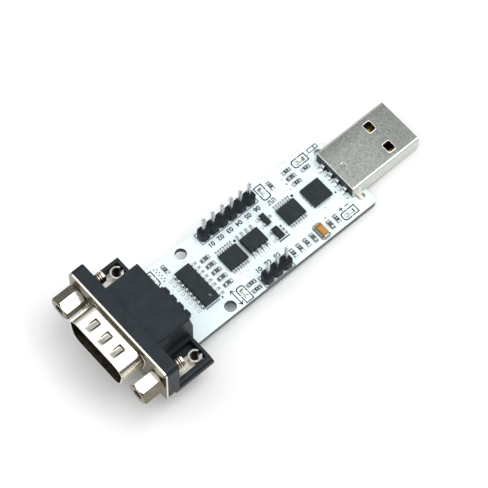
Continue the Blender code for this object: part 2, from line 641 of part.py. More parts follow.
def make_board_lock(name, side, finish):
    """The bent bracket behind an ear, with the split tube that clips into a board."""
    y = side * SCREW_SPACING / 2
    wall = FLANGE_BACK_X + FIT
    floor = EAR_FLOOR + FIT
    lock_x = FLANGE_BACK_X + LOCK_TUBE_SETBACK
    path = [(wall, LOCK_PLATE_TOP), (wall, floor), (lock_x, floor)]
    bracket = plate(name, [strip(path, LOCK_SHEET)], y - LOCK_WIDTH / 2, y + LOCK_WIDTH / 2, FACING_Y)
    lock = add_part(name, bracket, finish)

    top = floor + LOCK_SHEET + LOCK_TUBE_RISE
    tip = LOCK_TIP_Z + LOCK_TIP
    combine(lock, rods("tube", [((lock_x, y, tip), (lock_x, y, top))], LOCK_TUBE), "UNION")
    inner = LOCK_TUBE - 2 * LOCK_SHEET
    shape = bmesh.new()
    place = Matrix.Translation((lock_x, y, LOCK_TIP_Z + LOCK_TIP / 2))
    bmesh.ops.create_cone(shape, cap_ends=True, segments=HOLE_SIDES, radius1=inner / 2 + LOCK_TIP_WALL,
                          radius2=LOCK_TUBE / 2, depth=LOCK_TIP, matrix=place)
    combine(lock, mesh_of(shape, "tip"), "UNION")

    below, above = LOCK_TIP_Z - OVERSHOOT, top + OVERSHOOT
    combine(lock, rods("inside", [((lock_x, y, below), (lock_x, y, above))], inner), "DIFFERENCE")
    slot = boxes("slot", [((lock_x, y - LOCK_SLOT / 2, below), (lock_x + LOCK_TUBE, y + LOCK_SLOT / 2, above))])
    combine(lock, slot, "DIFFERENCE")
    hole = rods("screw_hole", [((wall - OVERSHOOT, y, D_CENTRE_Z), (wall + OVERSHOOT, y, D_CENTRE_Z))],
                SCREW_THREAD + HOLE_CLEARANCE)
    combine(lock, hole, "DIFFERENCE")


def make_usb_shell(finish):
    """The folded steel sleeve of the USB plug, with its windows and solder tabs."""
    half = USB_WIDTH / 2
    outer = rounded((-half, USB_BOTTOM_Z), (half, USB_TOP_Z), USB_CORNER)
    inner = rounded((USB_SHEET - half, USB_BOTTOM_Z + USB_SHEET), (half - USB_SHEET, USB_TOP_Z - USB_SHEET),
                    USB_CORNER - USB_SHEET)
    shell = add_part("usb_shell", plate("usb_shell", [outer, inner], USB_REAR_X, USB_TIP_X, FACING_X), finish)

    tab_x = USB_REAR_X + TAB_FROM_REAR
    tip_z = -BOARD_THICK - TAB_BELOW_BOARD
    tabs = []
    for side in (-1, 1):
        path = [(side * (half - USB_SHEET / 2), TAB_HEIGHT), (side * (half + TAB_OFFSET), TAB_HEIGHT),
                (side * (half + TAB_OFFSET), tip_z)]
        outline = strip(path, -side * USB_SHEET)
        tabs.append(plate("tab", [outline], tab_x - TAB_WIDTH / 2, tab_x + TAB_WIDTH / 2, FACING_X))
    combine(shell, joined("tabs", tabs), "UNION")

    length, width = USB_WINDOW
    window_x = USB_TIP_X - USB_WINDOW_FROM_TIP
    below, above = USB_BOTTOM_Z - OVERSHOOT, USB_TOP_Z + OVERSHOOT
    windows = boxes("windows", [((window_x - length / 2, side * USB_WINDOW_Y - width / 2, below),
                                 (window_x + length / 2, side * USB_WINDOW_Y + width / 2, above))
                                for side in (-1, 1)])
    combine(shell, windows, "DIFFERENCE")
    mark_x = USB_REAR_X + USB_MARK_FROM_REAR
    mark = boxes("mark", [((mark_x - USB_MARK / 2, -USB_MARK / 2, USB_TOP_Z - USB_MARK_DEPTH),
                           (mark_x + USB_MARK / 2, USB_MARK / 2, above))])
    combine(shell, mark, "DIFFERENCE")
    smooth(shell)


def make_usb_insulator(finish):
    """The plug's moulding: a block that fills the sleeve's rear, and the contact tongue."""
    half = USB_WIDTH / 2 - USB_SHEET - FIT
    low, top = USB_BOTTOM_Z + USB_SHEET + FIT, USB_TOP_Z - USB_SHEET - FIT
    tongue = low + USB_TONGUE_THICK
    block_end = USB_REAR_X + USB_BLOCK_LENGTH
    tip = USB_TIP_X - USB_TONGUE_SETBACK
    nose = USB_TONGUE_NOSE
    side_view = [(USB_REAR_X, low), (tip - nose, low), (tip, low + nose), (tip, tongue - nose),
                 (tip - nose, tongue), (block_end, tongue), (block_end, top), (USB_REAR_X, top)]
    insulator = add_part("usb_insulator", plate("usb_insulator", [side_view], -half, half, FACING_Y), finish)
    section = rounded((-half, low), (half, top), USB_CORNER - USB_SHEET)
    combine(insulator, plate("section", [section], USB_REAR_X - OVERSHOOT, USB_TIP_X, FACING_X), "INTERSECT")
    slot_half = CONTACT_WIDTH / 2 + FIT
    slots = boxes("slots", [((USB_REAR_X - OVERSHOOT, y - slot_half, tongue - CONTACT_THICK / 2),
                             (USB_TIP_X - CONTACT_SETBACK + FIT, y + slot_half, tongue + CONTACT_THICK + FIT))
                            for y in CONTACT_Y])
    combine(insulator, slots, "DIFFERENCE")


def make_usb_contact(name, y, finish):
    """A flat contact that lies on the tongue and steps down to its pad on the board."""
    level = USB_BOTTOM_Z + USB_SHEET + FIT + USB_TONGUE_THICK - CONTACT_THICK / 2 + FIT / 2
    rear = USB_REAR_X - CONTACT_DROP
    foot = rear - CONTACT_SLOPE
    path = [(USB_TIP_X - CONTACT_SETBACK, level), (rear, level), (foot, SOLDER_FILM),
            (foot - CONTACT_FOOT, SOLDER_FILM)]
    outline = strip(path, -CONTACT_THICK)
    add_part(name, plate(name, [outline], y - CONTACT_WIDTH / 2, y + CONTACT_WIDTH / 2, FACING_Y), finish)


def header_pin(x, y):
    """A square pin with a tapered tip at both ends."""
    half, low, high = HEADER_PIN / 2, -HEADER_PIN_BELOW, PITCH + HEADER_PIN_ABOVE
    shape = bmesh.new()
    add_box(shape, (x - half, y - half, low), (x + half, y + half, high))
    for level in (low + HEADER_TAPER, high - HEADER_TAPER):
        bmesh.ops.bisect_plane(shape, geom=shape.verts[:] + shape.edges[:] + shape.faces[:],
                               plane_co=(0, 0, level), plane_no=(0, 0, 1))
    for vert in shape.verts:
        if min(vert.co.z - low, high - vert.co.z) < HEADER_TAPER / 2:
            vert.co.x = (x + vert.co.x) / 2
            vert.co.y = (y + vert.co.y) / 2
    return mesh_of(shape, "pin")


def make_header(name, count, x, y, finish):
    """A straight pin header: a row of chamfered blocks with its square pins."""
    half = PITCH / 2
    start, end = x - half * count, x + half * count
    block = boxes(name, [((start, y - half, SOLDER_FILM), (end, y + half, PITCH))])
    header = add_part(name, block, finish)
    grooves = rods("grooves", [((start + PITCH * i, y + side * half, -PITCH),
                                (start + PITCH * i, y + side * half, 2 * PITCH))
                               for i in range(count + 1) for side in (-1, 1)], 2 * HEADER_CHAMFER, 4)
    combine(header, grooves, "DIFFERENCE")
    pins = [header_pin(pin_x, pin_y) for pin_x, pin_y in header_pins(count, x, y)]
    combine(header, joined("pins", pins), "UNION")


def moulded_body(length, width, low, high):
    """A moulded body whose walls slope in above and below its middle."""
    shape = bmesh.new()
    add_box(shape, (-length / 2, -width / 2, low), (length / 2, width / 2, high))
    middle = (low + high) / 2
    bmesh.ops.bisect_plane(shape, geom=shape.verts[:] + shape.edges[:] + shape.faces[:],
                           plane_co=(0, 0, middle), plane_no=(0, 0, 1))
    for vert in shape.verts:
        if abs(vert.co.z - middle) > (high - low) / 4:
            vert.co.x -= DRAFT if vert.co.x > 0 else -DRAFT
            vert.co.y -= DRAFT if vert.co.y > 0 else -DRAFT
    return shape


def stand(x, y, turn):
    """The place of a small part on the board."""
    return Matrix.Translation((x, y, 0)) @ Matrix.Rotation(radians(turn), 4, "Z")


def make_leaded_chip(name, x, y, turn, case, finish):
    """A chip with gull-wing leads along its two long sides."""
    width, height, span, pitch = (case[key] for key in ("width", "height", "span", "pitch"))
    lead_width, lead_thick, foot = case["lead"]
    front, back = case["count"]
    length = pitch * (max(front, back) - 1) + 2 * case["margin"]
    place = stand(x, y, turn)
    base = SOLDER_FILM + lead_thick / 2
    shape = moulded_body(length, width, base, SOLDER_FILM + height)
    shape.transform(place)
    chip = add_part(name, mesh_of(shape, name), finish)

    shoulder = SOLDER_FILM + (height - lead_thick) / 2
    bend = width / 2 + (span - width) * LEAD_SHOULDER
    heel = span / 2 - foot
    leads = []
    for side, (count, spacing) in ((-1, (front, pitch)), (1, (back, case.get("back_pitch", pitch)))):
        path = [(side * (width / 2 - LEAD_ROOT), shoulder), (side * bend, shoulder),
                (side * heel, SOLDER_FILM), (side * span / 2, SOLDER_FILM)]
        outline = strip(path, side * lead_thick)
        for along in spread(count, spacing):
            leads.append(plate("lead", [outline], along - lead_width / 2, along + lead_width / 2, FACING_X))
    frame_mesh = joined("leads", leads)
    frame_mesh.transform(place)
    combine(chip, frame_mesh, "UNION")
    if front > PIN_ONE_FROM:
        inset = PIN_ONE_INSET
        spot = Vector((inset - length / 2, inset - width / 2, SOLDER_FILM + height))
        deep = Vector((0, 0, PIN_ONE_DEPTH))
        ends = (place @ (spot - deep), place @ (spot + deep * 3))
        combine(chip, rods("pin_one", [ends], PIN_ONE_DIMPLE, 12), "DIFFERENCE")


def make_flat_chip(finish):
    """The leadless chip, with the ends of its pads showing along four sides."""
    length, width, height = QFN
    pad_width, pad_long, pad_high = QFN_PAD
    place = stand(QFN_X, QFN_Y, 0)
    shape = bmesh.new()
    add_box(shape, (-length / 2, -width / 2, SOLDER_FILM + FIT), (length / 2, width / 2, SOLDER_FILM + height))
    shape.transform(place)
    chip = add_part("usb_bridge_chip", mesh_of(shape, "usb_bridge_chip"), finish)
    pads = bmesh.new()
    for turn in (0, 90, 180, 270):
        row = bmesh.new()
        for along in spread(QFN_PADS_A_SIDE, QFN_PITCH):
            add_box(row, (along - pad_width / 2, width / 2 + FIT - pad_long, SOLDER_FILM),
                    (along + pad_width / 2, width / 2 + FIT, SOLDER_FILM + pad_high))
        row.transform(place @ Matrix.Rotation(radians(turn), 4, "Z"))
        mesh = mesh_of(row, "row")
        pads.from_mesh(mesh)
    combine(chip, mesh_of(pads, "pads"), "UNION")


def make_chip_part(name, x, y, turn, height, finish):
    """A two-terminal chip: a ceramic body between two metal end caps."""
    length, width, _ = CHIP_SMALL
    rise, cap = CHIP_CAP_RISE, CHIP_CAP
    place = stand(x, y, turn)
    body = bmesh.new()
    add_box(body, (cap / 2 - length / 2, rise - width / 2, SOLDER_FILM + rise),
            (length / 2 - cap / 2, width / 2 - rise, SOLDER_FILM + height - rise))
    body.transform(place)
    chip = add_part(name, mesh_of(body, name), finish)
    caps = bmesh.new()
    for side in (-1, 1):
        add_box(caps, (side * length / 2, -width / 2, SOLDER_FILM),
                (side * (length / 2 - cap), width / 2, SOLDER_FILM + height))
    caps.transform(place)
    combine(chip, mesh_of(caps, "caps"), "UNION")


def make_led(name, x, y, turn, finish):
    """A chip lamp: a flat base with its two terminals, and a clear moulded lens."""
    length, width, _ = CHIP_SMALL
    lens_long, lens_wide, lens_high = LED_LENS
    place = stand(x, y, turn)
    base = bmesh.new()
    add_box(base, (-length / 2, -width / 2, SOLDER_FILM), (length / 2, width / 2, SOLDER_FILM + LED_BASE))
    base.transform(place)
    led = add_part(name, mesh_of(base, name), finish)
    top = SOLDER_FILM + LED_BASE + lens_high
    lens = moulded_body(lens_long, lens_wide, SOLDER_FILM + LED_BASE - lens_high, top)
    bmesh.ops.bisect_plane(lens, geom=lens.verts[:] + lens.edges[:] + lens.faces[:],
                           plane_co=(0, 0, SOLDER_FILM + LED_BASE / 2), plane_no=(0, 0, -1), clear_outer=True)
    bmesh.ops.holes_fill(lens, edges=[edge for edge in lens.edges if edge.is_boundary])
    lens.transform(place)
    combine(led, mesh_of(lens, "lens"), "UNION")


def make_tantalum(finish):
    """The tantalum capacitor: a moulded block with a bent terminal at each end."""
    length, width, height = TANTALUM
    tab_long, tab_wide, tab_high = TANTALUM_TAB
    place = stand(TANTALUM_X, TANTALUM_Y, 90)
    shape = moulded_body(length - tab_long, width, SOLDER_FILM + FIT, SOLDER_FILM + height)
    shape.transform(place)
    capacitor = add_part("tantalum_capacitor", mesh_of(shape, "tantalum_capacitor"), finish)
    tabs = bmesh.new()
    for side in (-1, 1):
        add_box(tabs, (side * length / 2, -tab_wide / 2, SOLDER_FILM),
                (side * (length / 2 - 2 * tab_long), tab_wide / 2, SOLDER_FILM + tab_high))
    tabs.transform(place)
    combine(capacitor, mesh_of(tabs, "tabs"), "UNION")


def main():
    white_board = material("white_solder_mask", (0.80, 0.86, 0.86), 0.45)
    black = material("black_moulding", (0.02, 0.024, 0.027), 0.5)
    nickel = material("nickel_plated_steel", (0.62, 0.59, 0.52), 0.3, 1.0)
    satin = material("satin_nickel_steel", (0.45, 0.45, 0.42), 0.42, 1.0)
    tin = material("tinned_contact", (0.66, 0.65, 0.62), 0.3, 1.0)
    gold = material("gold_plated_contact", (0.75, 0.56, 0.25), 0.3, 1.0)
    epoxy = material("chip_epoxy", (0.028, 0.03, 0.031), 0.55)
    resistive = material("resistor_coating", (0.03, 0.03, 0.032), 0.4)
    ceramic = material("capacitor_ceramic", (0.25, 0.17, 0.12), 0.45)
    lens = material("lamp_resin", (0.75, 0.76, 0.58), 0.2)
    orange = material("tantalum_resin", (0.65, 0.32, 0.05), 0.45)

    make_board(white_board)
    make_housing(black)
    make_shell(nickel)
    for number, (y, z, tail_x) in enumerate(d_pin_places(), 1):
        make_contact("dsub_pin_%d" % number, y, z, tail_x, gold)
    make_spacer(black)
    for label, side in (("left", 1), ("right", -1)):
        make_jack_screw("jack_screw_" + label, side, HEX_TURNS[label], nickel)
        make_board_lock("board_lock_" + label, side, tin)
    make_usb_shell(satin)
    make_usb_insulator(black)
    for number, y in enumerate(CONTACT_Y, 1):
        make_usb_contact("usb_contact_%d" % number, y, gold)
    make_header("logic_header", 6, SIX_WAY_X, SIX_WAY_Y, black)
    make_header("bus_header", 3, THREE_WAY_X, THREE_WAY_Y, black)
    for name, (x, y, turn, case) in LEADED_CHIPS.items():
        make_leaded_chip(name, x, y, turn, CASES[case], epoxy)
    make_flat_chip(epoxy)
    for name, (x, y, turn) in RESISTORS.items():
        make_chip_part(name, x, y, turn, CHIP_SMALL[2], resistive)
    for name, (x, y, turn) in CAPACITORS.items():
        make_chip_part(name, x, y, turn, CAPACITOR_HEIGHT, ceramic)
    for i in range(PUMP_CAPACITORS):
        y = PUMP_CAPACITOR_Y - PUMP_CAPACITOR_PITCH * i
        make_chip_part("capacitor_pump_%d" % (i + 1), PUMP_CAPACITOR_X, y, 0, CAPACITOR_HEIGHT, ceramic)
    for name, (x, y, turn) in LEDS.items():
        make_led(name, x, y, turn, lens)
    make_tantalum(orange)


main()
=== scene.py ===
"""The visible pieces and finishes of a USB to serial adapter module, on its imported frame."""
from collections import namedtuple
from math import atan2, cos, degrees, pi, radians, sin, tan

import bpy
from bpy.props import FloatProperty, FloatVectorProperty, PointerProperty
from bpy.types import Operator, Panel, PropertyGroup
from mathutils import Matrix, Vector


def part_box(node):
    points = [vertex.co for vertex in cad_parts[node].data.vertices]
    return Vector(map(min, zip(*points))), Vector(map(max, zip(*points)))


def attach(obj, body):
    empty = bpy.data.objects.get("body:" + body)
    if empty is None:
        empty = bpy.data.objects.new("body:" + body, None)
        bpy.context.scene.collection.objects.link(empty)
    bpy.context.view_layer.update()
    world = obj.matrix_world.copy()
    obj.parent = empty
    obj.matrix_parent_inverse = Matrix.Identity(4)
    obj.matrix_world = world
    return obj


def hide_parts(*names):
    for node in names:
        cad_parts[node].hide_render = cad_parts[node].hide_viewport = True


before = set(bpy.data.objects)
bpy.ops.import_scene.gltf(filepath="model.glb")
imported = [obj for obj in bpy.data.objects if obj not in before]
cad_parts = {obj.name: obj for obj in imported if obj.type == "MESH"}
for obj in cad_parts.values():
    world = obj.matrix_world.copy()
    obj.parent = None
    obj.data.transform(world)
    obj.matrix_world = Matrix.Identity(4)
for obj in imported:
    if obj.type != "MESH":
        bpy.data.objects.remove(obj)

bl_info = {
    "name": "Serial Adapter Module",
    "version": (1, 0, 0),
    "blender": (4, 5, 0),
    "location": "View3D > Sidebar > Adapter",
    "description": "Builds the visible pieces of a USB to serial adapter module",
    "category": "Add Mesh",
}

MM = 0.001
BODY = "root"

# The board's frame: millimetres from a datum near the board's middle, with Z = 0 on its top face
BOARD_END = 24.4
BOARD_THICK = 1.6
BOARD_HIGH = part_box("board")[1]
DATUM = Vector((BOARD_HIGH.x - BOARD_END * MM, 0, BOARD_HIGH.z))


def at(x, y, z=0.0):
    """A point of the board's frame, in metres in the row's frame."""
    return DATUM + Vector((x, y, z)) * MM


def tone(hexcode):
    """An sRGB hex colour as linear red, green, blue and alpha."""
    values = [int(hexcode[i:i + 2], 16) / 255 for i in (1, 3, 5)]
    return tuple(v / 12.92 if v <= 0.04045 else ((v + 0.055) / 1.055) ** 2.4 for v in values) + (1.0,)


# Settings

def colour(name, about, hexcode):
    """A colour setting."""
    return FloatVectorProperty(name=name, description=about, subtype="COLOR", min=0, max=1,
                               default=tone(hexcode)[:3])


def thickness(name, about, size_mm):
    """A length setting, given in millimetres."""
    return FloatProperty(name=name, description=about, unit="LENGTH", default=size_mm * MM, min=0,
                         precision=6)


class StageSettings(PropertyGroup):
    floor_colour: colour("Floor", "Colour of the floor", "#F4F4F4")
    key_power: FloatProperty(name="Key light", description="Power of the large soft lamp", default=2.5, min=0,
                             subtype="POWER")
    sky_level: FloatProperty(name="Sky", description="Strength of the surrounding light", default=1.0, min=0)


class BoardSettings(PropertyGroup):
    mask: colour("Solder mask", "Colour of the board's faces", "#E4F3F8")
    laminate: colour("Laminate", "Colour of the board's cut edge", "#686B63")
    legend: colour("Legend", "Colour of the printed marks", "#15191B")
    legend_rise: thickness("Legend thickness", "Thickness of the printed marks", 0.012)


class MetalSettings(PropertyGroup):
    bright_nickel: colour("Bright nickel", "Colour of the D connector's metal", "#F2EEE3")
    satin_nickel: colour("Satin nickel", "Colour of the USB sleeve", "#929590")
    tin: colour("Tin", "Colour of leads, pins and solder", "#CDD0D0")
    gold: colour("Gold", "Colour of the plated contacts", "#D9B25F")


class PlasticSettings(PropertyGroup):
    moulding: colour("Moulding", "Colour of the connectors' plastic", "#1A242A")
    epoxy: colour("Chip epoxy", "Colour of the chips' bodies", "#222A2D")
    edge_break: thickness("Edge break", "Width of the moulded edges' rounding", 0.12)


# Tools

def clear_selection():
    if bpy.context.view_layer.objects.active and bpy.context.object.mode != "OBJECT":
        bpy.ops.object.mode_set(mode="OBJECT")
    bpy.ops.object.select_all(action="DESELECT")


def choose(piece):
    """Make one object the only selected one."""
    clear_selection()
    piece.select_set(True)
    bpy.context.view_layer.objects.active = piece


def edit_all(piece):
    """Go into edit mode with the whole of one piece selected."""
    choose(piece)
    bpy.ops.object.mode_set(mode="EDIT")
    bpy.ops.mesh.select_all(action="SELECT")


def edit_edges(piece, test):
    """Go into edit mode with only the edges selected whose middle passes a test."""
    choose(piece)
    bpy.ops.object.mode_set(mode="EDIT")
    bpy.ops.mesh.select_mode(type="EDGE")
    bpy.ops.mesh.select_all(action="DESELECT")
    bpy.ops.object.mode_set(mode="OBJECT")
    mesh = piece.data
    for edge in mesh.edges:
        edge.select = bool(test(sum((mesh.vertices[i].co for i in edge.vertices), Vector()) / 2))
    bpy.ops.object.mode_set(mode="EDIT")


def done():
    """Leave edit mode."""
    bpy.ops.object.mode_set(mode="OBJECT")
    return bpy.context.object


def face_out(piece):
    """Turn the faces of closed shells outwards."""
    edit_all(piece)
    bpy.ops.mesh.normals_make_consistent(inside=False)
    done()


def link(name, data):
    """A new object in the scene."""
    made = bpy.data.objects.new(name, data)
    bpy.context.scene.collection.objects.link(made)
    return made


def take_copy(node):
    """A copy of a CAD node's mesh with its triangles merged and its flat faces made whole."""
    piece = link(node + "_finished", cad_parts[node].data.copy())
    piece.data.materials.clear()
    choose(piece)
    bpy.ops.mesh.customdata_custom_splitnormals_clear()
    edit_all(piece)
    bpy.ops.mesh.remove_doubles(threshold=0.002 * MM)
    bpy.ops.mesh.dissolve_limited(angle_limit=radians(1))
    return done()


def unit_block(low=(-0.5, -0.5, 0), high=(0.5, 0.5, 1)):
    """A box of about unit size, ready to be shaped in edit mode."""
    clear_selection()
    bpy.ops.mesh.primitive_cube_add(size=1)
    piece = bpy.context.object
    low, high = Vector(low), Vector(high)
    piece.data.transform(Matrix.Translation((low + high) / 2) @ Matrix.Diagonal((*(high - low), 1)))
    return piece


def key(point):
    return tuple(round(v * 1e9) for v in Vector(point))


def extrude_rings(rings, capped=True):
    """Extrude a closed line of edges through rings of equal count. Equal first and last rings are welded."""
    clear_selection()
    bpy.ops.mesh.primitive_circle_add(vertices=len(rings[0]), fill_type="NOTHING")
    piece = bpy.context.object
    for vert, point in zip(piece.data.vertices, rings[0]):
        vert.co = point
    bpy.ops.object.mode_set(mode="EDIT")
    bpy.ops.mesh.select_mode(type="EDGE")
    bpy.ops.mesh.select_all(action="SELECT")
    for last, ring in zip(rings, rings[1:]):
        moves = {key(a): b for a, b in zip(last, ring)}
        bpy.ops.mesh.extrude_region_move()
        bpy.ops.object.mode_set(mode="OBJECT")
        for vert in piece.data.vertices:
            if vert.select:
                vert.co = moves[key(vert.co)]
        bpy.ops.object.mode_set(mode="EDIT")
    bpy.ops.mesh.select_all(action="SELECT")
    welded = list(rings[0]) == list(rings[-1])
    if welded:
        bpy.ops.mesh.remove_doubles(threshold=1e-7)
    elif capped:
        bpy.ops.mesh.fill_holes(sides=0)
        bpy.ops.mesh.select_all(action="SELECT")
    if welded or capped:
        bpy.ops.mesh.normals_make_consistent(inside=False)
    return done()


def turned(profile, sides):
    """A round piece about Z from a profile of radius and height."""
    turns = [2 * pi * i / sides for i in range(sides)]
    return extrude_rings([[(r * cos(t), r * sin(t), z) for t in turns] for r, z in profile])


def modify(piece, kind, **settings):
    """Add a modifier with its settings and apply it."""
    choose(piece)
    step = piece.modifiers.new(kind.lower(), kind)
    for name, value in settings.items():
        setattr(step, name, value)
    bpy.ops.object.modifier_apply(modifier=step.name)


def finish_edges(piece, width_mm, segments, angle):
    """Break a piece's sharp edges."""
    modify(piece, "BEVEL", width=width_mm * MM, segments=segments, limit_method="ANGLE",
           angle_limit=radians(angle), use_clamp_overlap=True)
    edit_all(piece)
    bpy.ops.mesh.dissolve_degenerate(threshold=0.0005 * MM)
    done()


def cut_away(piece, cutter):
    """Cut one piece away from another and remove the cutter."""
    modify(piece, "BOOLEAN", operation="DIFFERENCE", solver="EXACT", object=cutter)
    bpy.data.objects.remove(cutter)


def split(piece, place, normal):
    """Cut a piece's faces along a plane, and leave it whole."""
    edit_all(piece)
    bpy.ops.mesh.bisect(plane_co=place, plane_no=normal)
    done()


def shade(piece, angle):
    """Shade a piece smooth but for its real edges, and keep its large flat faces flat."""
    choose(piece)
    bpy.ops.object.shade_smooth_by_angle(angle=radians(angle))
    modify(piece, "WEIGHTED_NORMAL", keep_sharp=True)


def paint(piece, names, pick=None):
    """Give a piece its finishes. pick names the finish for a face's centre (board frame) and normal."""
    for name in names:
        piece.data.materials.append(finish(name))
    if pick:
        for face in piece.data.polygons:
            centre = (piece.matrix_world @ face.center - DATUM) / MM
            face.material_index = names.index(pick(centre, face.normal))


def settle(piece, name, replaces=()):
    """Name a finished piece, put it on the body and hide the nodes it stands for."""
    choose(piece)
    bpy.ops.object.transform_apply(location=True, rotation=True, scale=True)
    piece.name = name
    piece.data.name = name
    if replaces:
        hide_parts(*replaces)
    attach(piece, BODY)


def dress(node, name, names, pick=None, edges=None, smooth=None, shape=None):
    """Finish a copy of a CAD node: its edges (width, steps, angle), own shaping, shading and finishes."""
    piece = take_copy(node)
    if edges:
        finish_edges(piece, *edges)
    if shape:
        piece = shape(piece)
    if smooth:
        shade(piece, smooth)
    paint(piece, names, pick)
    settle(piece, name, [node])


def join(pieces):
    """Join several objects into one."""
    clear_selection()
    for piece in pieces:
        piece.select_set(True)
    bpy.context.view_layer.objects.active = pieces[0]
    bpy.ops.object.join()
    return bpy.context.object


def scatter(template, places):
    """Copy a template to each place (a matrix) and join the copies into one object."""
    copies = []
    for place in places:
        mesh = template.data.copy()
        mesh.transform(place)
        copies.append(link("copy", mesh))
    bpy.data.objects.remove(template)
    return join(copies)


def stand(x, y, turn=0, size=(1, 1, 1), z=0.0, out=0, across=0):
    """The place of a small piece, in millimetres and degrees. out and across move it after its turn."""
    spin = Matrix.Rotation(radians(turn), 4, "Z")
    return (Matrix.Translation(at(x, y, z) + spin @ (Vector((out, across, 0)) * MM)) @ spin
            @ Matrix.Diagonal((*[s * MM for s in size], 1)))


def spread(count, pitch):
    """Places of a centred row."""
    return [pitch * (i - (count - 1) / 2) for i in range(count)]


def box_of(node):
    """The two corners of a node's box, in the board's frame."""
    return [(corner - DATUM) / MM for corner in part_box(node)]


def middle_of(node):
    """The middle of a node's box, in the board's frame."""
    low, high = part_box(node)
    return ((low + high) / 2 - DATUM) / MM


def long_axis(node):
    """0 for a part that lies along the board, 1 for one that lies across it."""
    low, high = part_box(node)
    return 0 if high.x - low.x > high.y - low.y else 1


# Finishes

def add(tree, kind, inputs=None, **settings):
    """Add a node with its settings, its values and its links."""
    node = tree.nodes.new(kind)
    for name, value in settings.items():
        setattr(node, name, value)
    for name, value in (inputs or {}).items():
        if isinstance(value, bpy.types.NodeSocket):
            tree.links.new(value, node.inputs[name])
        else:
            node.inputs[name].default_value = value
    return node


def two_hues(hues):
    """Two linear colours: from two hex values, or from a setting's name and two shares of its colour."""
    if hues[0].startswith("#"):
        return [tone(hue) for hue in hues]
    group, name = hues[0].split(".")
    base = getattr(getattr(bpy.context.scene, "adapter_" + group), name)
    return [tuple(min(1.0, v * share) for v in base) + (1.0,) for share in hues[1:]]


def make_finish(name, hues, mottle, rough, relief=(), detail=2.0, stops=(0.35, 0.65), stretch=None,
                inputs=None):
    """A material of two hues mottled at one size, in millimetres.

    rough is one value, or low, high and the size of its clouds. relief is the size, depth and strength of
    the bumps. Where a size is None, the pattern of the hues serves again. stretch draws that pattern out."""
    made = bpy.data.materials.new(name)
    made.use_nodes = True
    tree = made.node_tree
    tree.nodes.clear()
    shader = add(tree, "ShaderNodeBsdfPrincipled", inputs)
    add(tree, "ShaderNodeOutputMaterial", {"Surface": shader.outputs["BSDF"]})
    where = add(tree, "ShaderNodeTexCoord").outputs["Object"]
    drawn = where
    if stretch:
        drawn = add(tree, "ShaderNodeMapping", {"Vector": where, "Scale": stretch}).outputs["Vector"]
    low, high, clouds = rough if isinstance(rough, tuple) else (rough, rough, None)
    bumps, depth, strength = relief or (None, 0, 0)
    patterns = []
    for place, size, fine in ((drawn, mottle, detail), (where, clouds, 2.0), (where, bumps, 2.0)):
        patterns.append(patterns[0] if size is None else add(tree, "ShaderNodeTexNoise", {
            "Vector": place, "Scale": 1 / (size * MM), "Detail": fine}).outputs["Fac"])
    ramp = add(tree, "ShaderNodeValToRGB", {"Fac": patterns[0]})
    for element, stop, hue in zip(ramp.color_ramp.elements, stops, two_hues(hues)):
        element.position = stop
        element.color = hue
    tree.links.new(ramp.outputs["Color"], shader.inputs["Base Color"])
    shader.inputs["Roughness"].default_value = low
    if low != high:
        gloss = add(tree, "ShaderNodeMapRange", {"Value": patterns[1], "From Min": 0.3, "From Max": 0.7,
                                                 "To Min": low, "To Max": high})
        tree.links.new(gloss.outputs["Result"], shader.inputs["Roughness"])
    if relief:
        bump = add(tree, "ShaderNodeBump", {"Height": patterns[2], "Distance": depth * MM,
                                            "Strength": strength})
        tree.links.new(bump.outputs["Normal"], shader.inputs["Normal"])
    return made


def add_painted_falloff(made):
    """Painted shade on the sleeve: its colour darker toward the tip and toward one long edge, where its
    reflection of the window falls off.
    """
    tree = made.node_tree
    colour_input = tree.nodes["Principled BSDF"].inputs["Base Color"]
    place = add(tree, "ShaderNodeSeparateXYZ", {"Vector": tree.nodes["Texture Coordinate"].outputs["Object"]})
    lit_share = []
    for axis, zero, start, stop, least in (("X", DATUM.x, 27.5, 37.5, 0.77), ("Y", DATUM.y, 1.2, 5.6, 0.7)):
        lit_share.append(add(tree, "ShaderNodeMapRange", {
            "Value": place.outputs[axis], "From Min": zero + start * MM, "From Max": zero + stop * MM,
            "To Min": 1.0, "To Max": least}, interpolation_type="SMOOTHSTEP").outputs["Result"])
    least_lit = add(tree, "ShaderNodeMath", {0: lit_share[0], 1: lit_share[1]}, operation="MINIMUM").outputs[0]
    scaled = add(tree, "ShaderNodeVectorMath", {0: colour_input.links[0].from_socket, "Scale": least_lit},
                 operation="SCALE")
    tree.links.new(scaled.outputs["Vector"], colour_input)


def finish(name):
    """The named finish, made once."""
    made = bpy.data.materials.get(name)
    if not made:
        made = make_finish(name, **FINISHES[name])
        if name == "satin_nickel":
            add_painted_falloff(made)
    return made


METAL = {"Metallic": 1.0}
RESIN = {"Subsurface Weight": 0.3, "Subsurface Scale": 0.4 * MM}
GRAIN = (0.1, 0.01, 0.15)

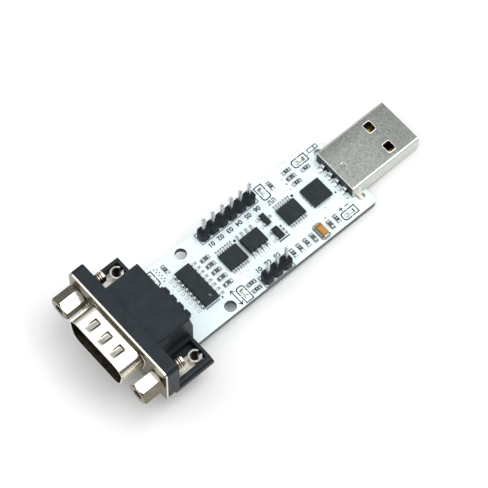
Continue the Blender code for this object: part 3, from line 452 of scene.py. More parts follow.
FINISHES = {
    # Painted board under the object: pale and matte
    "pale_floor": dict(hues=("stage.floor_colour", 0.985, 1), mottle=30.0, rough=0.8,
                       inputs={"Specular IOR Level": 0.2}),
    # Screened white epoxy ink over copper and glass: a soft gloss, faintly blue, thinner over edges
    "white_solder_mask": dict(hues=("board.mask", 0.965, 1), mottle=7.0, rough=(0.32, 0.42, 1.6),
                              relief=(0.45, 0.01, 0.12)),
    # Sawn glass-epoxy laminate: thin grey-green plies of cloth seen end on, matte
    "glass_laminate": dict(hues=("board.laminate", 0.72, 1.25), mottle=0.22, rough=0.7,
                           relief=(None, 0.03, 0.4), detail=3.0, stretch=(0.12, 0.12, 1.0)),
    # Bare laminate in the mask's openings round the lands: olive and faintly glossy
    "open_laminate": dict(hues=("#4A4C45", "#66685F"), mottle=0.4, rough=0.4, relief=GRAIN),
    # Screen-printed ink: dense, flat and slightly mottled where it is thin
    "printed_legend": dict(hues=("board.legend", 0.8, 1.5), mottle=0.3, rough=0.6),
    # Glass-filled polyester moulded in a spark-eroded tool: satin black, faintly blue, finely pitted
    "moulded_plastic": dict(hues=("plastic.moulding", 0.8, 1.25), mottle=2.4, rough=(0.38, 0.5, 0.9),
                            relief=(0.16, 0.02, 0.35), detail=3.0, inputs={"Specular IOR Level": 0.22}),
    # Transfer-moulded epoxy: dull charcoal with a fine sandy surface
    "sandy_chip_epoxy": dict(hues=("plastic.epoxy", 0.85, 1.2), mottle=1.3, rough=0.5,
                             relief=(0.12, 0.015, 0.4), inputs={"Specular IOR Level": 0.2}),
    # Where the mould's round pin touched the chip: smoother and greyer than the sandy surface
    "polished_epoxy": dict(hues=("#4C5558", "#5A6366"), mottle=0.3, rough=0.3, relief=GRAIN),
    # Header moulding: black nylon with glass fibre, duller than the connector's
    "glass_filled_nylon": dict(hues=("#12191E", "#1A2329"), mottle=0.6, rough=0.45, relief=GRAIN,
                               inputs={"Specular IOR Level": 0.15}),
    # Bright nickel plate on drawn or turned steel: a warm mirror, a little uneven
    "bright_nickel": dict(hues=("metal.bright_nickel", 0.93, 1), mottle=3.0, rough=(0.14, 0.22, 0.8),
                          relief=(2.0, 0.02, 0.05), inputs=METAL),
    # The plate with fine die lines along the draw: greyer than the polished flats
    "drawn_nickel": dict(hues=("metal.bright_nickel", 0.3, 0.6), mottle=0.3, rough=(0.36, 0.26, None),
                         detail=3.0, stretch=(0.15, 1.0, 1.0), inputs=METAL),
    # Painted shade: the plate inside the drawn shell, inside the locks' tubes and along the far sides of the
    # sleeve's punched mark, dull and painted dark
    "inner_nickel": dict(hues=("#3E3A33", "#5E584E"), mottle=1.0, rough=0.42, inputs=METAL),
    # Painted shade: the drawn tube's round root and the dimples' steep sides, duller and browner than the
    # polished tube
    "stretched_nickel": dict(hues=("#4C463C", "#6E6759"), mottle=0.5, rough=0.3, inputs=METAL),
    # Painted dark reflection: the flange's front face and the hexagons' front faces and faces toward -Y, a
    # duller, browner plate than the polished tube, as they mirror the shaded floor
    "rolled_nickel": dict(hues=("#7C7567", "#8B8475"), mottle=1.5, rough=0.28, inputs=METAL),
    # Brown plate: painted shade in the roots of the rolled thread, and painted dark reflection on the
    # hexagons' front chamfers
    "thread_brass": dict(hues=("#4A3518", "#8A6A34"), mottle=0.5, rough=0.34, inputs=METAL),
    # Barrel-plated satin nickel on folded sheet: grey, with a frosted grain drawn coarse enough to show
    "satin_nickel": dict(hues=("metal.satin_nickel", 0.62, 1.3), mottle=0.26, rough=(0.46, 0.36, None),
                         relief=(None, 0.03, 0.25), detail=3.0, stops=(0.3, 0.7), inputs=METAL),
    # The same sleeve's sides and folds, painted brighter and smoother than its flats as a painted reflection
    # of the bright floor
    "folded_nickel": dict(hues=("metal.satin_nickel", 2.4 * 0.88, 2.4), mottle=0.5, rough=0.36, inputs=METAL),
    # Matt tin plate on copper: pale grey, lightly rippled
    "tinned_metal": dict(hues=("metal.tin", 0.88, 1), mottle=0.6, rough=(0.2, 0.32, 0.4),
                         relief=(0.3, 0.02, 0.2), inputs=METAL),
    # Silver-palladium end cap, dipped, fired and thinly tinned: grey and rather dull
    "fired_terminal": dict(hues=("#8C8E8F", "#C0C3C4"), mottle=0.35, rough=(0.3, 0.45, 0.3),
                           relief=(0.2, 0.02, 0.3), inputs=METAL),
    # Reflowed solder: bright, rounded and slightly frosted
    "reflowed_solder": dict(hues=("metal.tin", 0.92, 1.12), mottle=0.35, rough=(0.16, 0.34, 0.25),
                            relief=(0.25, 0.03, 0.2), inputs=METAL),
    # Thin gold over nickel: warm yellow mirror
    "gold_plate": dict(hues=("metal.gold", 0.9, 1), mottle=0.7, rough=0.22, inputs=METAL),
    # Black overglaze on a thick-film resistor: smooth and glossy
    "resistor_glaze": dict(hues=("#121315", "#1D1E20"), mottle=0.5, rough=0.28, relief=GRAIN),
    # Fired white ink over the overglaze: dull
    "white_marking": dict(hues=("#AEB2B2", "#C8CBCB"), mottle=0.3, rough=0.6, relief=GRAIN),
    # Sintered barium titanate: dull brown
    "capacitor_ceramic": dict(hues=("#47443F", "#625F58"), mottle=0.6, rough=0.5, relief=GRAIN),
    # White glass-epoxy carrier of a chip lamp: dull
    "lamp_base": dict(hues=("#D9D6CB", "#E8E6DD"), mottle=0.5, rough=0.5, relief=GRAIN),
    # Clear casting resin over a phosphor chip: pale yellow, glossy, light spreads inside it
    "cast_lamp_resin": dict(hues=("#DADDBE", "#EDEFD8"), mottle=0.4, rough=0.16, relief=GRAIN, inputs=RESIN),
    # Casting resin with a white filler: no tint of its own, glossy, light spreads inside it
    "milky_lamp_resin": dict(hues=("#D6D8D4", "#E9EBE8"), mottle=0.4, rough=0.16, relief=GRAIN, inputs=RESIN),
    # Moulded ochre epoxy: satin, faintly cloudy
    "ochre_epoxy": dict(hues=("#9A6812", "#BC8C38"), mottle=0.55, rough=0.42, relief=(0.2, 0.02, 0.3),
                        detail=3.0),
    # The stripe at the positive end: thin brown ink that lets the ochre through
    "printed_band": dict(hues=("#6B4710", "#8A6220"), mottle=0.3, rough=0.5, relief=GRAIN),
}


# The stage

class ADAPTER_OT_stage(Operator):
    """Camera, floor, lamps and surrounding light"""
    bl_idname = "adapter.stage"
    bl_label = "Stage"

    camera_place = (-0.16668, -0.18266, 0.52440)
    camera_aim = (0.28758, 0.31920, -0.90301)
    camera_up = (0.59276, 0.68125, 0.42958)
    lens_mm = 201.39
    floor_slope = radians(3.08)
    floor_touch = (-26.5 * MM, -0.02 * MM)
    # The window's direction, and the degrees from its middle where its light begins and is full
    window = (-0.20, 0.30, 0.93)
    window_edge = (31, 25)

    def execute(self, context):
        scene = context.scene
        settings = scene.adapter_stage
        scene.view_settings.view_transform = "Standard"

        camera = link("camera", bpy.data.cameras.new("camera"))
        aim, up = Vector(self.camera_aim).normalized(), Vector(self.camera_up).normalized()
        side = aim.cross(up).normalized()
        turn = Matrix((side, side.cross(aim), -aim)).transposed().to_4x4()
        camera.matrix_world = Matrix.Translation(self.camera_place) @ turn
        camera.data.lens = self.lens_mm
        camera.data.sensor_width = 36.0
        camera.data.clip_start, camera.data.clip_end = 0.01, 20.0
        scene.camera = camera

        self.floor()
        self.lamps(settings)
        self.sky(scene, settings)
        return {"FINISHED"}

    def floor(self):
        clear_selection()
        bpy.ops.mesh.primitive_plane_add(size=6.0)
        floor = bpy.context.object
        x, z = self.floor_touch
        turn = Matrix.Rotation(-self.floor_slope, 4, "Y")
        floor.data.transform(Matrix.Translation((x, 0, z)) @ turn)
        floor.name = "floor"
        paint(floor, ["pale_floor"])

    def lamps(self, settings):
        for name, place, size, share, hue in (
                ("key", (0.20, -0.12, 0.72), 0.5, 1.0, (1.0, 0.99, 0.98)),
                ("side", (0.22, -0.47, 0.55), 0.3, 0.3, (1.0, 0.99, 0.98)),
                ("fill", (-0.42, 0.48, 0.42), 0.5, 0.5, (0.96, 0.98, 1.0))):
            data = bpy.data.lights.new(name, "AREA")
            data.shape = "SQUARE"
            data.size = size
            data.energy = settings.key_power * share
            data.color = hue
            lamp = link(name, data)
            lamp.location = place
            lamp.rotation_euler = (-Vector(place)).to_track_quat("-Z", "Y").to_euler()

    def sky(self, scene, settings):
        """Dim warm surroundings, brighter overhead, with one wide soft window high above the module."""
        world = bpy.data.worlds.new("studio")
        scene.world = world
        world.use_nodes = True
        tree = world.node_tree
        tree.nodes.clear()
        where = add(tree, "ShaderNodeTexCoord").outputs["Generated"]
        height = add(tree, "ShaderNodeSeparateXYZ", {"Vector": where}).outputs["Z"]
        ramp = add(tree, "ShaderNodeValToRGB", {"Fac": height})
        stops = ((0.0, (0.04, 0.036, 0.03)), (0.42, (0.22, 0.21, 0.195)), (0.8, (0.84, 0.86, 0.87)))
        while len(ramp.color_ramp.elements) < len(stops):
            ramp.color_ramp.elements.new(0.5)
        for element, (place, hue) in zip(ramp.color_ramp.elements, stops):
            element.position = place
            element.color = (*hue, 1)
        across = add(tree, "ShaderNodeVectorMath", {0: where, 1: Vector(self.window).normalized()},
                     operation="DOT_PRODUCT").outputs["Value"]
        outer, inner = (cos(radians(turn)) for turn in self.window_edge)
        glow = add(tree, "ShaderNodeMapRange", {"Value": across, "From Min": outer, "From Max": inner},
                   interpolation_type="SMOOTHSTEP")
        window = add(tree, "ShaderNodeMix", {"Factor": glow.outputs["Result"], "A": ramp.outputs["Color"],
                                             "B": (1.35, 1.37, 1.38, 1)}, data_type="RGBA")
        light = add(tree, "ShaderNodeBackground", {"Color": window.outputs["Result"],
                                                   "Strength": settings.sky_level})
        plain = add(tree, "ShaderNodeBackground", {"Color": (1, 1, 1, 1), "Strength": 0.95})
        seen = add(tree, "ShaderNodeLightPath").outputs["Is Camera Ray"]
        mix = add(tree, "ShaderNodeMixShader", {0: seen, 1: light.outputs[0], 2: plain.outputs[0]})
        add(tree, "ShaderNodeOutputWorld", {"Surface": mix.outputs[0]})


# The layout of the board, in millimetres in its frame

# A leaded chip: turn of its lead axis, body width, span over the leads, count and pitch of both rows, lead
# width, and where the lands begin and end from the chip's middle
Leaded = namedtuple("Leaded", "turn width span front back lead land")
LEADED = {
    "line_driver_chip": Leaded(90, 3.9, 6.0, (8, 1.27), (8, 1.27), 0.42, (2.1, 3.6)),
    "bus_driver_chip": Leaded(0, 3.9, 6.0, (4, 1.27), (4, 1.27), 0.42, (2.1, 3.6)),
    "logic_chip_1": Leaded(0, 4.4, 6.4, (7, 0.65), (7, 0.65), 0.24, (2.5, 3.6)),
    "logic_chip_2": Leaded(0, 4.4, 6.4, (7, 0.65), (7, 0.65), 0.24, (2.5, 3.6)),
    "transistor": Leaded(90, 1.35, 2.5, (1, 1.9), (2, 1.9), 0.42, (0.8, 1.7)),
    "regulator": Leaded(90, 1.6, 2.8, (3, 0.95), (2, 1.9), 0.4, (0.95, 1.85)),
}
FLAT_CHIP = "usb_bridge_chip"
# Its pads a side, their pitch, and its half width
FLAT_CHIP_PADS = (7, 0.5, 2.5)
RESISTORS = ("resistor_led_serial", "resistor_led_bus", "resistor_bus_bias", "resistor_led_logic",
             "resistor_usb_upper", "resistor_usb_lower", "resistor_led_usb", "resistor_edge_1",
             "resistor_edge_2", "resistor_edge_3", "resistor_led_power")
CAPACITORS = ("capacitor_usb", "capacitor_edge", "capacitor_supply", "capacitor_pump_1", "capacitor_pump_2",
              "capacitor_pump_3", "capacitor_pump_4", "capacitor_pump_5")
TANTALUM = "tantalum_capacitor"
LAMPS = ("led_serial", "led_bus", "led_logic", "led_usb", "led_power")
HEADERS = {"logic_header": 6, "bus_header": 3}
HEADER_PITCH = 2.54
D_PINS = ["dsub_pin_%d" % i for i in range(1, 10)]
USB_CONTACTS = ["usb_contact_%d" % i for i in range(1, 5)]
VIAS = ((12.2, 7.0), (12.1, 4.1), (-22.0, 2.5), (-7.3, -4.4), (14.8, -4.0), (19.3, 3.0), (-13.9, 5.9),
        (5.7, 0.2), (0.6, -5.2), (19.8, -5.4), (-16.0, 6.0), (10.9, -4.6))
# The plug's solder tabs, and the notch that the plug sits in
TAB_X, TAB_Y = 22.4, 6.6
NOTCH_X, NOTCH_HALF = 20.93, 6.05


def ends(node):
    """The two ends of a two-ended part: X and Y of its middle, and the turn outwards."""
    middle = middle_of(node)
    for turn in (0, 180):
        yield middle.x, middle.y, 90 * long_axis(node) + turn


def lead_places(node):
    """Each lead of a leaded chip: X and Y of the chip's middle, turn outwards, and place along its row."""
    chip = LEADED[node]
    middle = middle_of(node)
    # The front row looks to the chip's own -Y
    for (count, pitch), outwards, sign in ((chip.front, chip.turn - 90, 1), (chip.back, chip.turn + 90, -1)):
        for along in spread(count, pitch):
            yield middle.x, middle.y, outwards, along * sign


def header_pins(node):
    """Where the pins of a header go through the board."""
    middle = middle_of(node)
    return [(middle.x + along, middle.y) for along in spread(HEADERS[node], HEADER_PITCH)]


def all_header_pins():
    return [place for node in HEADERS for place in header_pins(node)]


def d_tails():
    """Where the D contacts go through the board."""
    half_wire = 0.35
    return [(box_of(node)[1].x - half_wire, middle_of(node).y) for node in D_PINS]


# The board

def rounded_block(segments):
    """A unit block with its upright edges rounded."""
    block = unit_block()
    edit_edges(block, lambda c: abs(abs(c.x) - 0.5) < 0.01 and abs(abs(c.y) - 0.5) < 0.01)
    bpy.ops.mesh.bevel(offset=0.12, segments=segments, affect="EDGES")
    return done()


def cut_at_notch(piece):
    """Cut a piece off at the notch that the plug sits in."""
    block = unit_block((0, -1, -1), (1, 1, 1))
    block.data.transform(Matrix.Translation(at(NOTCH_X, 0))
                         @ Matrix.Diagonal((6 * MM, NOTCH_HALF * MM, MM, 1)))
    cut_away(piece, block)


class ADAPTER_OT_board(Operator):
    """Bare board with its cut edges"""
    bl_idname = "adapter.board"
    bl_label = "Board"

    def execute(self, context):
        dress("board", "circuit_board", ["white_solder_mask", "glass_laminate"],
              lambda centre, normal: "white_solder_mask" if abs(normal.z) > 0.5 else "glass_laminate",
              (0.04, 1, 60), 30)
        return {"FINISHED"}


class ADAPTER_OT_lands(Operator):
    """Tinned lands and plated holes of the board"""
    bl_idname = "adapter.lands"
    bl_label = "Lands"

    rise = 0.028
    gap_rise = 0.01
    contact_x = 20.55

    def lands(self):
        """Each flat land: X, Y, turn, offsets along and across, length, width and gap to the mask."""
        for node, chip in LEADED.items():
            start, stop = chip.land
            gap = 0.06 if chip.lead > 0.3 else 0.04
            for x, y, turn, along in lead_places(node):
                yield x, y, turn, (start + stop) / 2, -along, stop - start, chip.lead + 0.16, gap
        for node in RESISTORS + CAPACITORS + LAMPS:
            for x, y, turn in ends(node):
                yield x, y, turn, 0.87, 0, 0.66, 0.88, 0.07
        for x, y, turn in ends(TANTALUM):
            yield x, y, turn, 1.5, 0, 1.1, 1.35, 0.09
        count, pitch, edge = FLAT_CHIP_PADS
        middle = middle_of(FLAT_CHIP)
        for turn in (0, 90, 180, 270):
            for along in spread(count, pitch):
                yield middle.x, middle.y, turn, edge + 0.12, along, 0.5, 0.28, 0.02
        for node in USB_CONTACTS:
            yield self.contact_x, middle_of(node).y, 0, 0, 0, 1.5, 1.25, 0.09

    def execute(self, context):
        flat = scatter(rounded_block(3), [stand(x, y, turn, (long, wide, self.rise), 0, out, across)
                                          for x, y, turn, out, across, long, wide, _ in self.lands()])
        hole = turned([(0.30, 0.0), (0.30, 0.5), (0.26, 1.0), (0.17, 1.0), (0.15, 0.5), (0.15, 0.02)], 20)
        vias = scatter(hole, [stand(x, y, 0, (1, 1, self.rise)) for x, y in VIAS]
                       + [stand(x, y, 0, (1, 1, -self.rise), -BOARD_THICK) for x, y in VIAS])
        face_out(vias)
        ring = turned([(1.0, 0.0), (1.0, 0.7), (0.96, 1.0), (0.62, 1.0), (0.6, 0.0), (1.0, 0.0)], 28)
        rims = []
        for x, y in all_header_pins() + d_tails():
            rims.append(stand(x, y, 0, (0.86, 0.86, self.rise)))
            rims.append(stand(x, y, 180, (0.9, 0.9, self.rise), -BOARD_THICK - self.rise))
        tabs = scatter(ring.copy(), [stand(TAB_X, side * (TAB_Y + 0.15), 0, (1.18, 1.18, self.rise))
                                     for side in (-1, 1)])
        cut_at_notch(tabs)
        whole = join([flat, vias, scatter(ring, rims), tabs])
        shade(whole, 30)
        paint(whole, ["reflowed_solder"])
        settle(whole, "board_lands")

        # The gaps round the lands where the solder mask stops short and the laminate shows
        gaps = scatter(rounded_block(2),
                       [stand(x, y, turn, (long + 2 * gap, wide + 2 * gap, self.gap_rise), 0, out, across)
                        for x, y, turn, out, across, long, wide, gap in self.lands()])
        paint(gaps, ["open_laminate"])
        settle(gaps, "mask_openings")
        return {"FINISHED"}


class ADAPTER_OT_solder(Operator):
    """Solder drawn up on the parts' ends, and the joints of the leads that pass through the board"""
    bl_idname = "adapter.solder"
    bl_label = "Solder"

    film = 0.02
    contact_x = 19.82

    def wedge(self):
        """One unit long, wide and high, with a hollow slope and worn sides."""
        block = unit_block((0, -0.5, 0), (1, 0.5, 1))
        edit_edges(block, lambda c: c.x > 0.99 and c.z > 0.99)
        bpy.ops.mesh.bevel(offset=0.93, segments=5, profile=0.22, affect="EDGES", clamp_overlap=False)
        done()
        for vert in block.data.vertices:
            vert.co.y *= 1.0 - 0.28 * vert.co.z + 0.12 * (vert.co.x * (1 - vert.co.z))
        return block

    def wedges(self):
        """Each fillet: X, Y, turn, offsets along and across, length, width and height."""
        for node, chip in LEADED.items():
            half = chip.span / 2
            for x, y, turn, along in lead_places(node):
                yield x, y, turn, half - 0.05, -along, chip.land[1] - half, chip.lead + 0.06, 0.17
        for nodes, out, long, wide, high in (
                (RESISTORS, 0.79, 0.38, 0.8, 0.3), (CAPACITORS, 0.79, 0.38, 0.8, 0.48),
                (LAMPS, 0.79, 0.42, 0.8, 0.2), ([TANTALUM], 1.59, 0.42, 1.2, 0.55)):
            for node in nodes:
                for x, y, turn in ends(node):
                    yield x, y, turn, out, 0, long, wide, high
        for node in USB_CONTACTS:
            yield self.contact_x, middle_of(node).y, 180, 0, 0, 0.3, 1.05, 0.16

    def execute(self, context):
        fillets = scatter(self.wedge(), [stand(x, y, turn, (long, wide, high), self.film, out, across)
                                         for x, y, turn, out, across, long, wide, high in self.wedges()])
        # Joints under the board: a hollow-sided cone around each lead
        cone = turned([(0.86, 0.0), (0.80, 0.10), (0.60, 0.26), (0.46, 0.50), (0.41, 0.80), (0.36, 0.96),
                       (0.2, 1.0)], 20)
        places = [stand(x, y, 0, (0.98, 0.98, -0.95), -BOARD_THICK) for x, y in all_header_pins()]
        places += [stand(x, y, 0, (0.92, 0.92, -1.0), -BOARD_THICK) for x, y in d_tails()]
        cones = scatter(cone, places)
        # Round mounds on the plug's two tabs, above and below
        mound = turned([(1.36, 0.0), (1.32, 0.08), (1.12, 0.2), (0.8, 0.34), (0.5, 0.44), (0.2, 0.47)], 28)
        tabs = [stand(TAB_X, side * (TAB_Y + 0.15), 0, (0.72, 0.68, 0.6)) for side in (-1, 1)]
        tabs += [stand(TAB_X, side * (TAB_Y + 0.1), 0, (0.8, 0.62, -1.5), -BOARD_THICK) for side in (-1, 1)]
        mounds = scatter(mound, tabs)
        face_out(mounds)
        cut_at_notch(mounds)
        whole = join([fillets, cones, mounds])
        face_out(whole)
        shade(whole, 50)

        def pick(centre, normal):
            on_tab = TAB_X - 1.0 < centre.x < TAB_X + 1.2 and 5 < abs(centre.y) < 8.2
            return "drawn_nickel" if on_tab and centre.z > 0 else "reflowed_solder"
        paint(whole, ["reflowed_solder", "drawn_nickel"], pick)
        settle(whole, "solder_joints")
        return {"FINISHED"}


class ADAPTER_OT_legend(Operator):
    """Printed marks: outlines of the parts, dots, plain numbers and simple shapes"""
    bl_idname = "adapter.legend"
    bl_label = "Legend"

    line = 0.26
    weight = 1.3
    header_margin = 0.16

    def strokes(self):
        """Every line of the legend: its points and its width."""
        # Outlines around the lamps: two halves with a gap, one end round or square
        for corners in ((6.2, 5.7, 8.15, 9.4, "-y"), (-12.2, -9.6, -10.3, -5.8, "+y"),
                        (-24.8, 5.45, -22.85, 9.1, "-y"), (16.3, 7.1, 20.0, 9.0, "-x"),
                        (16.1, -9.1, 19.85, -7.2, "-x")):
            yield from self.lamp_outline(*corners)
        # Outlines around the two headers
        for node in HEADERS:
            low, high = box_of(node)
            x0, y0 = low.x - self.header_margin, low.y - self.header_margin
            x1, y1 = high.x + self.header_margin, high.y + self.header_margin
            yield [(x0, y0), (x1, y0), (x1, y1), (x0, y1), (x0, y0)], 0.13
        # Lines at two chips, and one on each side of the tantalum capacitor
        yield [(2.4, -3.6), (5.0, -3.6)], 0.22
        yield [(-19.5, -5.24), (-16.0, -5.24)], 0.16
        yield [(-19.5, 5.2), (-16.0, 5.2)], 0.16
        middle = middle_of(TANTALUM)
        for x in (middle.x - 1.03, middle.x + 1.03):
            yield [(x, middle.y - 1.7), (x, middle.y + 1.7)], 0.2
        # Bus: a line with an arrow at both ends
        yield [(-13.1, -9.2), (-13.1, -5.4)], 0.18
        for y, step in ((-5.4, -0.5), (-9.2, 0.5)):
            yield [(-13.55, y + step), (-13.1, y), (-12.65, y + step)], 0.18
        # Logic: two pulses
        yield [(6.2, 4.3), (6.6, 4.3), (6.6, 5.15), (7.1, 5.15), (7.1, 4.3), (7.6, 4.3), (7.6, 5.15),
               (8.1, 5.15), (8.1, 4.3)], 0.16
        # Plug: a sleeve with two windows
        yield [(21.0, 8.1), (23.4, 8.1), (23.4, 9.0), (21.0, 9.0), (21.0, 8.1)], 0.15
        yield [(22.55, 8.35), (22.75, 8.35)], 0.18
        yield [(22.55, 8.75), (22.75, 8.75)], 0.18
        # Supply: plus and minus
        yield [(16.7, -6.35), (17.5, -6.35)], 0.18
        yield [(17.1, -6.75), (17.1, -5.95)], 0.18
        yield [(18.3, -6.35), (19.1, -6.35)], 0.18

    def lamp_outline(self, x0, y0, x1, y1, round_end):
        along_x = round_end[1] == "x"
        (u0, u1, v0, v1) = (x0, x1, y0, y1) if along_x else (y0, y1, x0, x1)
        if round_end[0] == "+":
            u0, u1 = u1, u0
        sign = 1 if u1 > u0 else -1
        middle, gap, r = (u0 + u1) / 2, 0.22, 0.62
        turns = [pi / 2 * i / 4 for i in range(5)]
        first = [(middle - sign * gap, v0)]
        first += [(u0 + sign * r * (1 - sin(t)), v0 + r * (1 - cos(t))) for t in turns]
        first += [(u0 + sign * r * (1 - cos(t)), v1 - r * (1 - sin(t))) for t in turns]
        first.append((middle - sign * gap, v1))
        second = [(middle + sign * gap, v0), (u1, v0), (u1, v1), (middle + sign * gap, v1)]
        for path in (first, second):
            yield [p if along_x else (p[1], p[0]) for p in path], self.line / self.weight

    def dots(self):
        """Each dot: X, Y and diameter."""
        yield from ((-4.8, 2.9, 0.65), (11.4, 2.9, 0.7), (12.4, 5.7, 0.4), (18.95, -2.6, 0.45),
                    (13.2, -5.7, 0.35), (-15.2, -5.3, 0.45), (20.4, 8.0, 0.3))
        # The nine contacts of the D connector, as five and four dots
        for x, count in ((-22.0, 5), (-21.5, 4)):
            for y in spread(count, 0.85):
                yield x, 7.2 + y, 0.32

    def execute(self, context):
        rise = context.scene.adapter_board.legend_rise / MM
        places = []
        for points, width in self.strokes():
            width *= self.weight
            for (xa, ya), (xb, yb) in zip(points, points[1:]):
                turn = degrees(atan2(yb - ya, xb - xa))
                long = ((xb - xa) ** 2 + (yb - ya) ** 2) ** 0.5 + width
                places.append(stand((xa + xb) / 2, (ya + yb) / 2, turn, (long, width, rise)))
        lines = scatter(unit_block(), places)
        spot = turned([(0.5, 0.0), (0.5, 0.7), (0.46, 1.0)], 20)
        spots = scatter(spot, [stand(x, y, 0, (d, d, rise)) for x, y, d in self.dots()])
        numbers = [self.number("%02d" % i, x, y, rise)
                   for node, y in (("logic_header", 5.45), ("bus_header", -5.5))
                   for i, (x, _) in enumerate(header_pins(node), 1)]
        whole = join([lines, spots] + numbers)
        paint(whole, ["printed_legend"])
        settle(whole, "board_legend")
        return {"FINISHED"}

    def number(self, digits, x, y, rise):
        """A plain number, turned to be read from the board's far long edge."""
        clear_selection()
        bpy.ops.object.text_add()
        text = bpy.context.object.data
        text.body = digits
        text.size = 1.5
        text.align_x = "CENTER"
        text.align_y = "CENTER"
        text.offset = 0.05
        text.extrude = 0.5
        text.resolution_u = 4
        bpy.ops.object.convert(target="MESH")
        piece = bpy.context.object
        edit_all(piece)
        bpy.ops.mesh.remove_doubles(threshold=0.0005)
        bpy.ops.mesh.normals_make_consistent(inside=False)
        done()
        piece.data.transform(stand(x, y, 180, (1, 1, rise)) @ Matrix.Translation((0, 0, 0.5)))
        return piece


# The D connector

# The D's top, middle and height in Z, its half width, corner radius and the slant of its sides, and the X of
# the tube's mouth and of the flange's face
D_TOP, D_MIDDLE, D_TALL = 10.43, 6.25, 8.36
D_HALF, D_ROUND, D_SLANT = 8.45, 2.6, radians(10)
D_LIP, D_ROOT = -44.85, -39.05
SHEET = 0.4
SCREW_Y, SCREW_HOLE = 12.5, 1.57


def d_path(inset, flat_steps=80, side_steps=6, turn_steps=8):
    """The D of the connector as Y and Z, wide side up, drawn in by an inset. The count is always the same."""
    half, top, low = D_HALF - inset, D_TOP - inset, D_TOP - D_TALL + inset
    r = D_ROUND - inset
    slant = (top - low - 2 * r) * tan(D_SLANT)
    flat_top, flat_low = half - r, half - r - slant
    upper, lower, tilt = top - r, low + r, degrees(D_SLANT)

    def rim(y, z, turn):
        return y + r * cos(radians(turn)), z + r * sin(radians(turn))

    def corner(y, z, start, stop):
        return [rim(y, z, start + (stop - start) * i / turn_steps) for i in range(turn_steps)]

    def line(a, b, steps):
        return [(a[0] + (b[0] - a[0]) * i / steps, a[1] + (b[1] - a[1]) * i / steps) for i in range(steps)]

    return (line((flat_top, top), (-flat_top, top), flat_steps)
            + corner(-flat_top, upper, 90, 180 + tilt)
            + line(rim(-flat_top, upper, 180 + tilt), rim(-flat_low, lower, 180 + tilt), side_steps)
            + corner(-flat_low, lower, 180 + tilt, 270)
            + line((-flat_low, low), (flat_low, low), flat_steps)
            + corner(flat_low, lower, 270, 360 - tilt)
            + line(rim(flat_low, lower, -tilt), rim(flat_top, upper, -tilt), side_steps)
            + corner(flat_top, upper, -tilt, 90))


def step_up(value, low, high):
    """0 below low, 1 above high, and a smooth rise between."""
    t = min(1.0, max(0.0, (value - low) / (high - low)))
    return t * t * (3 - 2 * t)


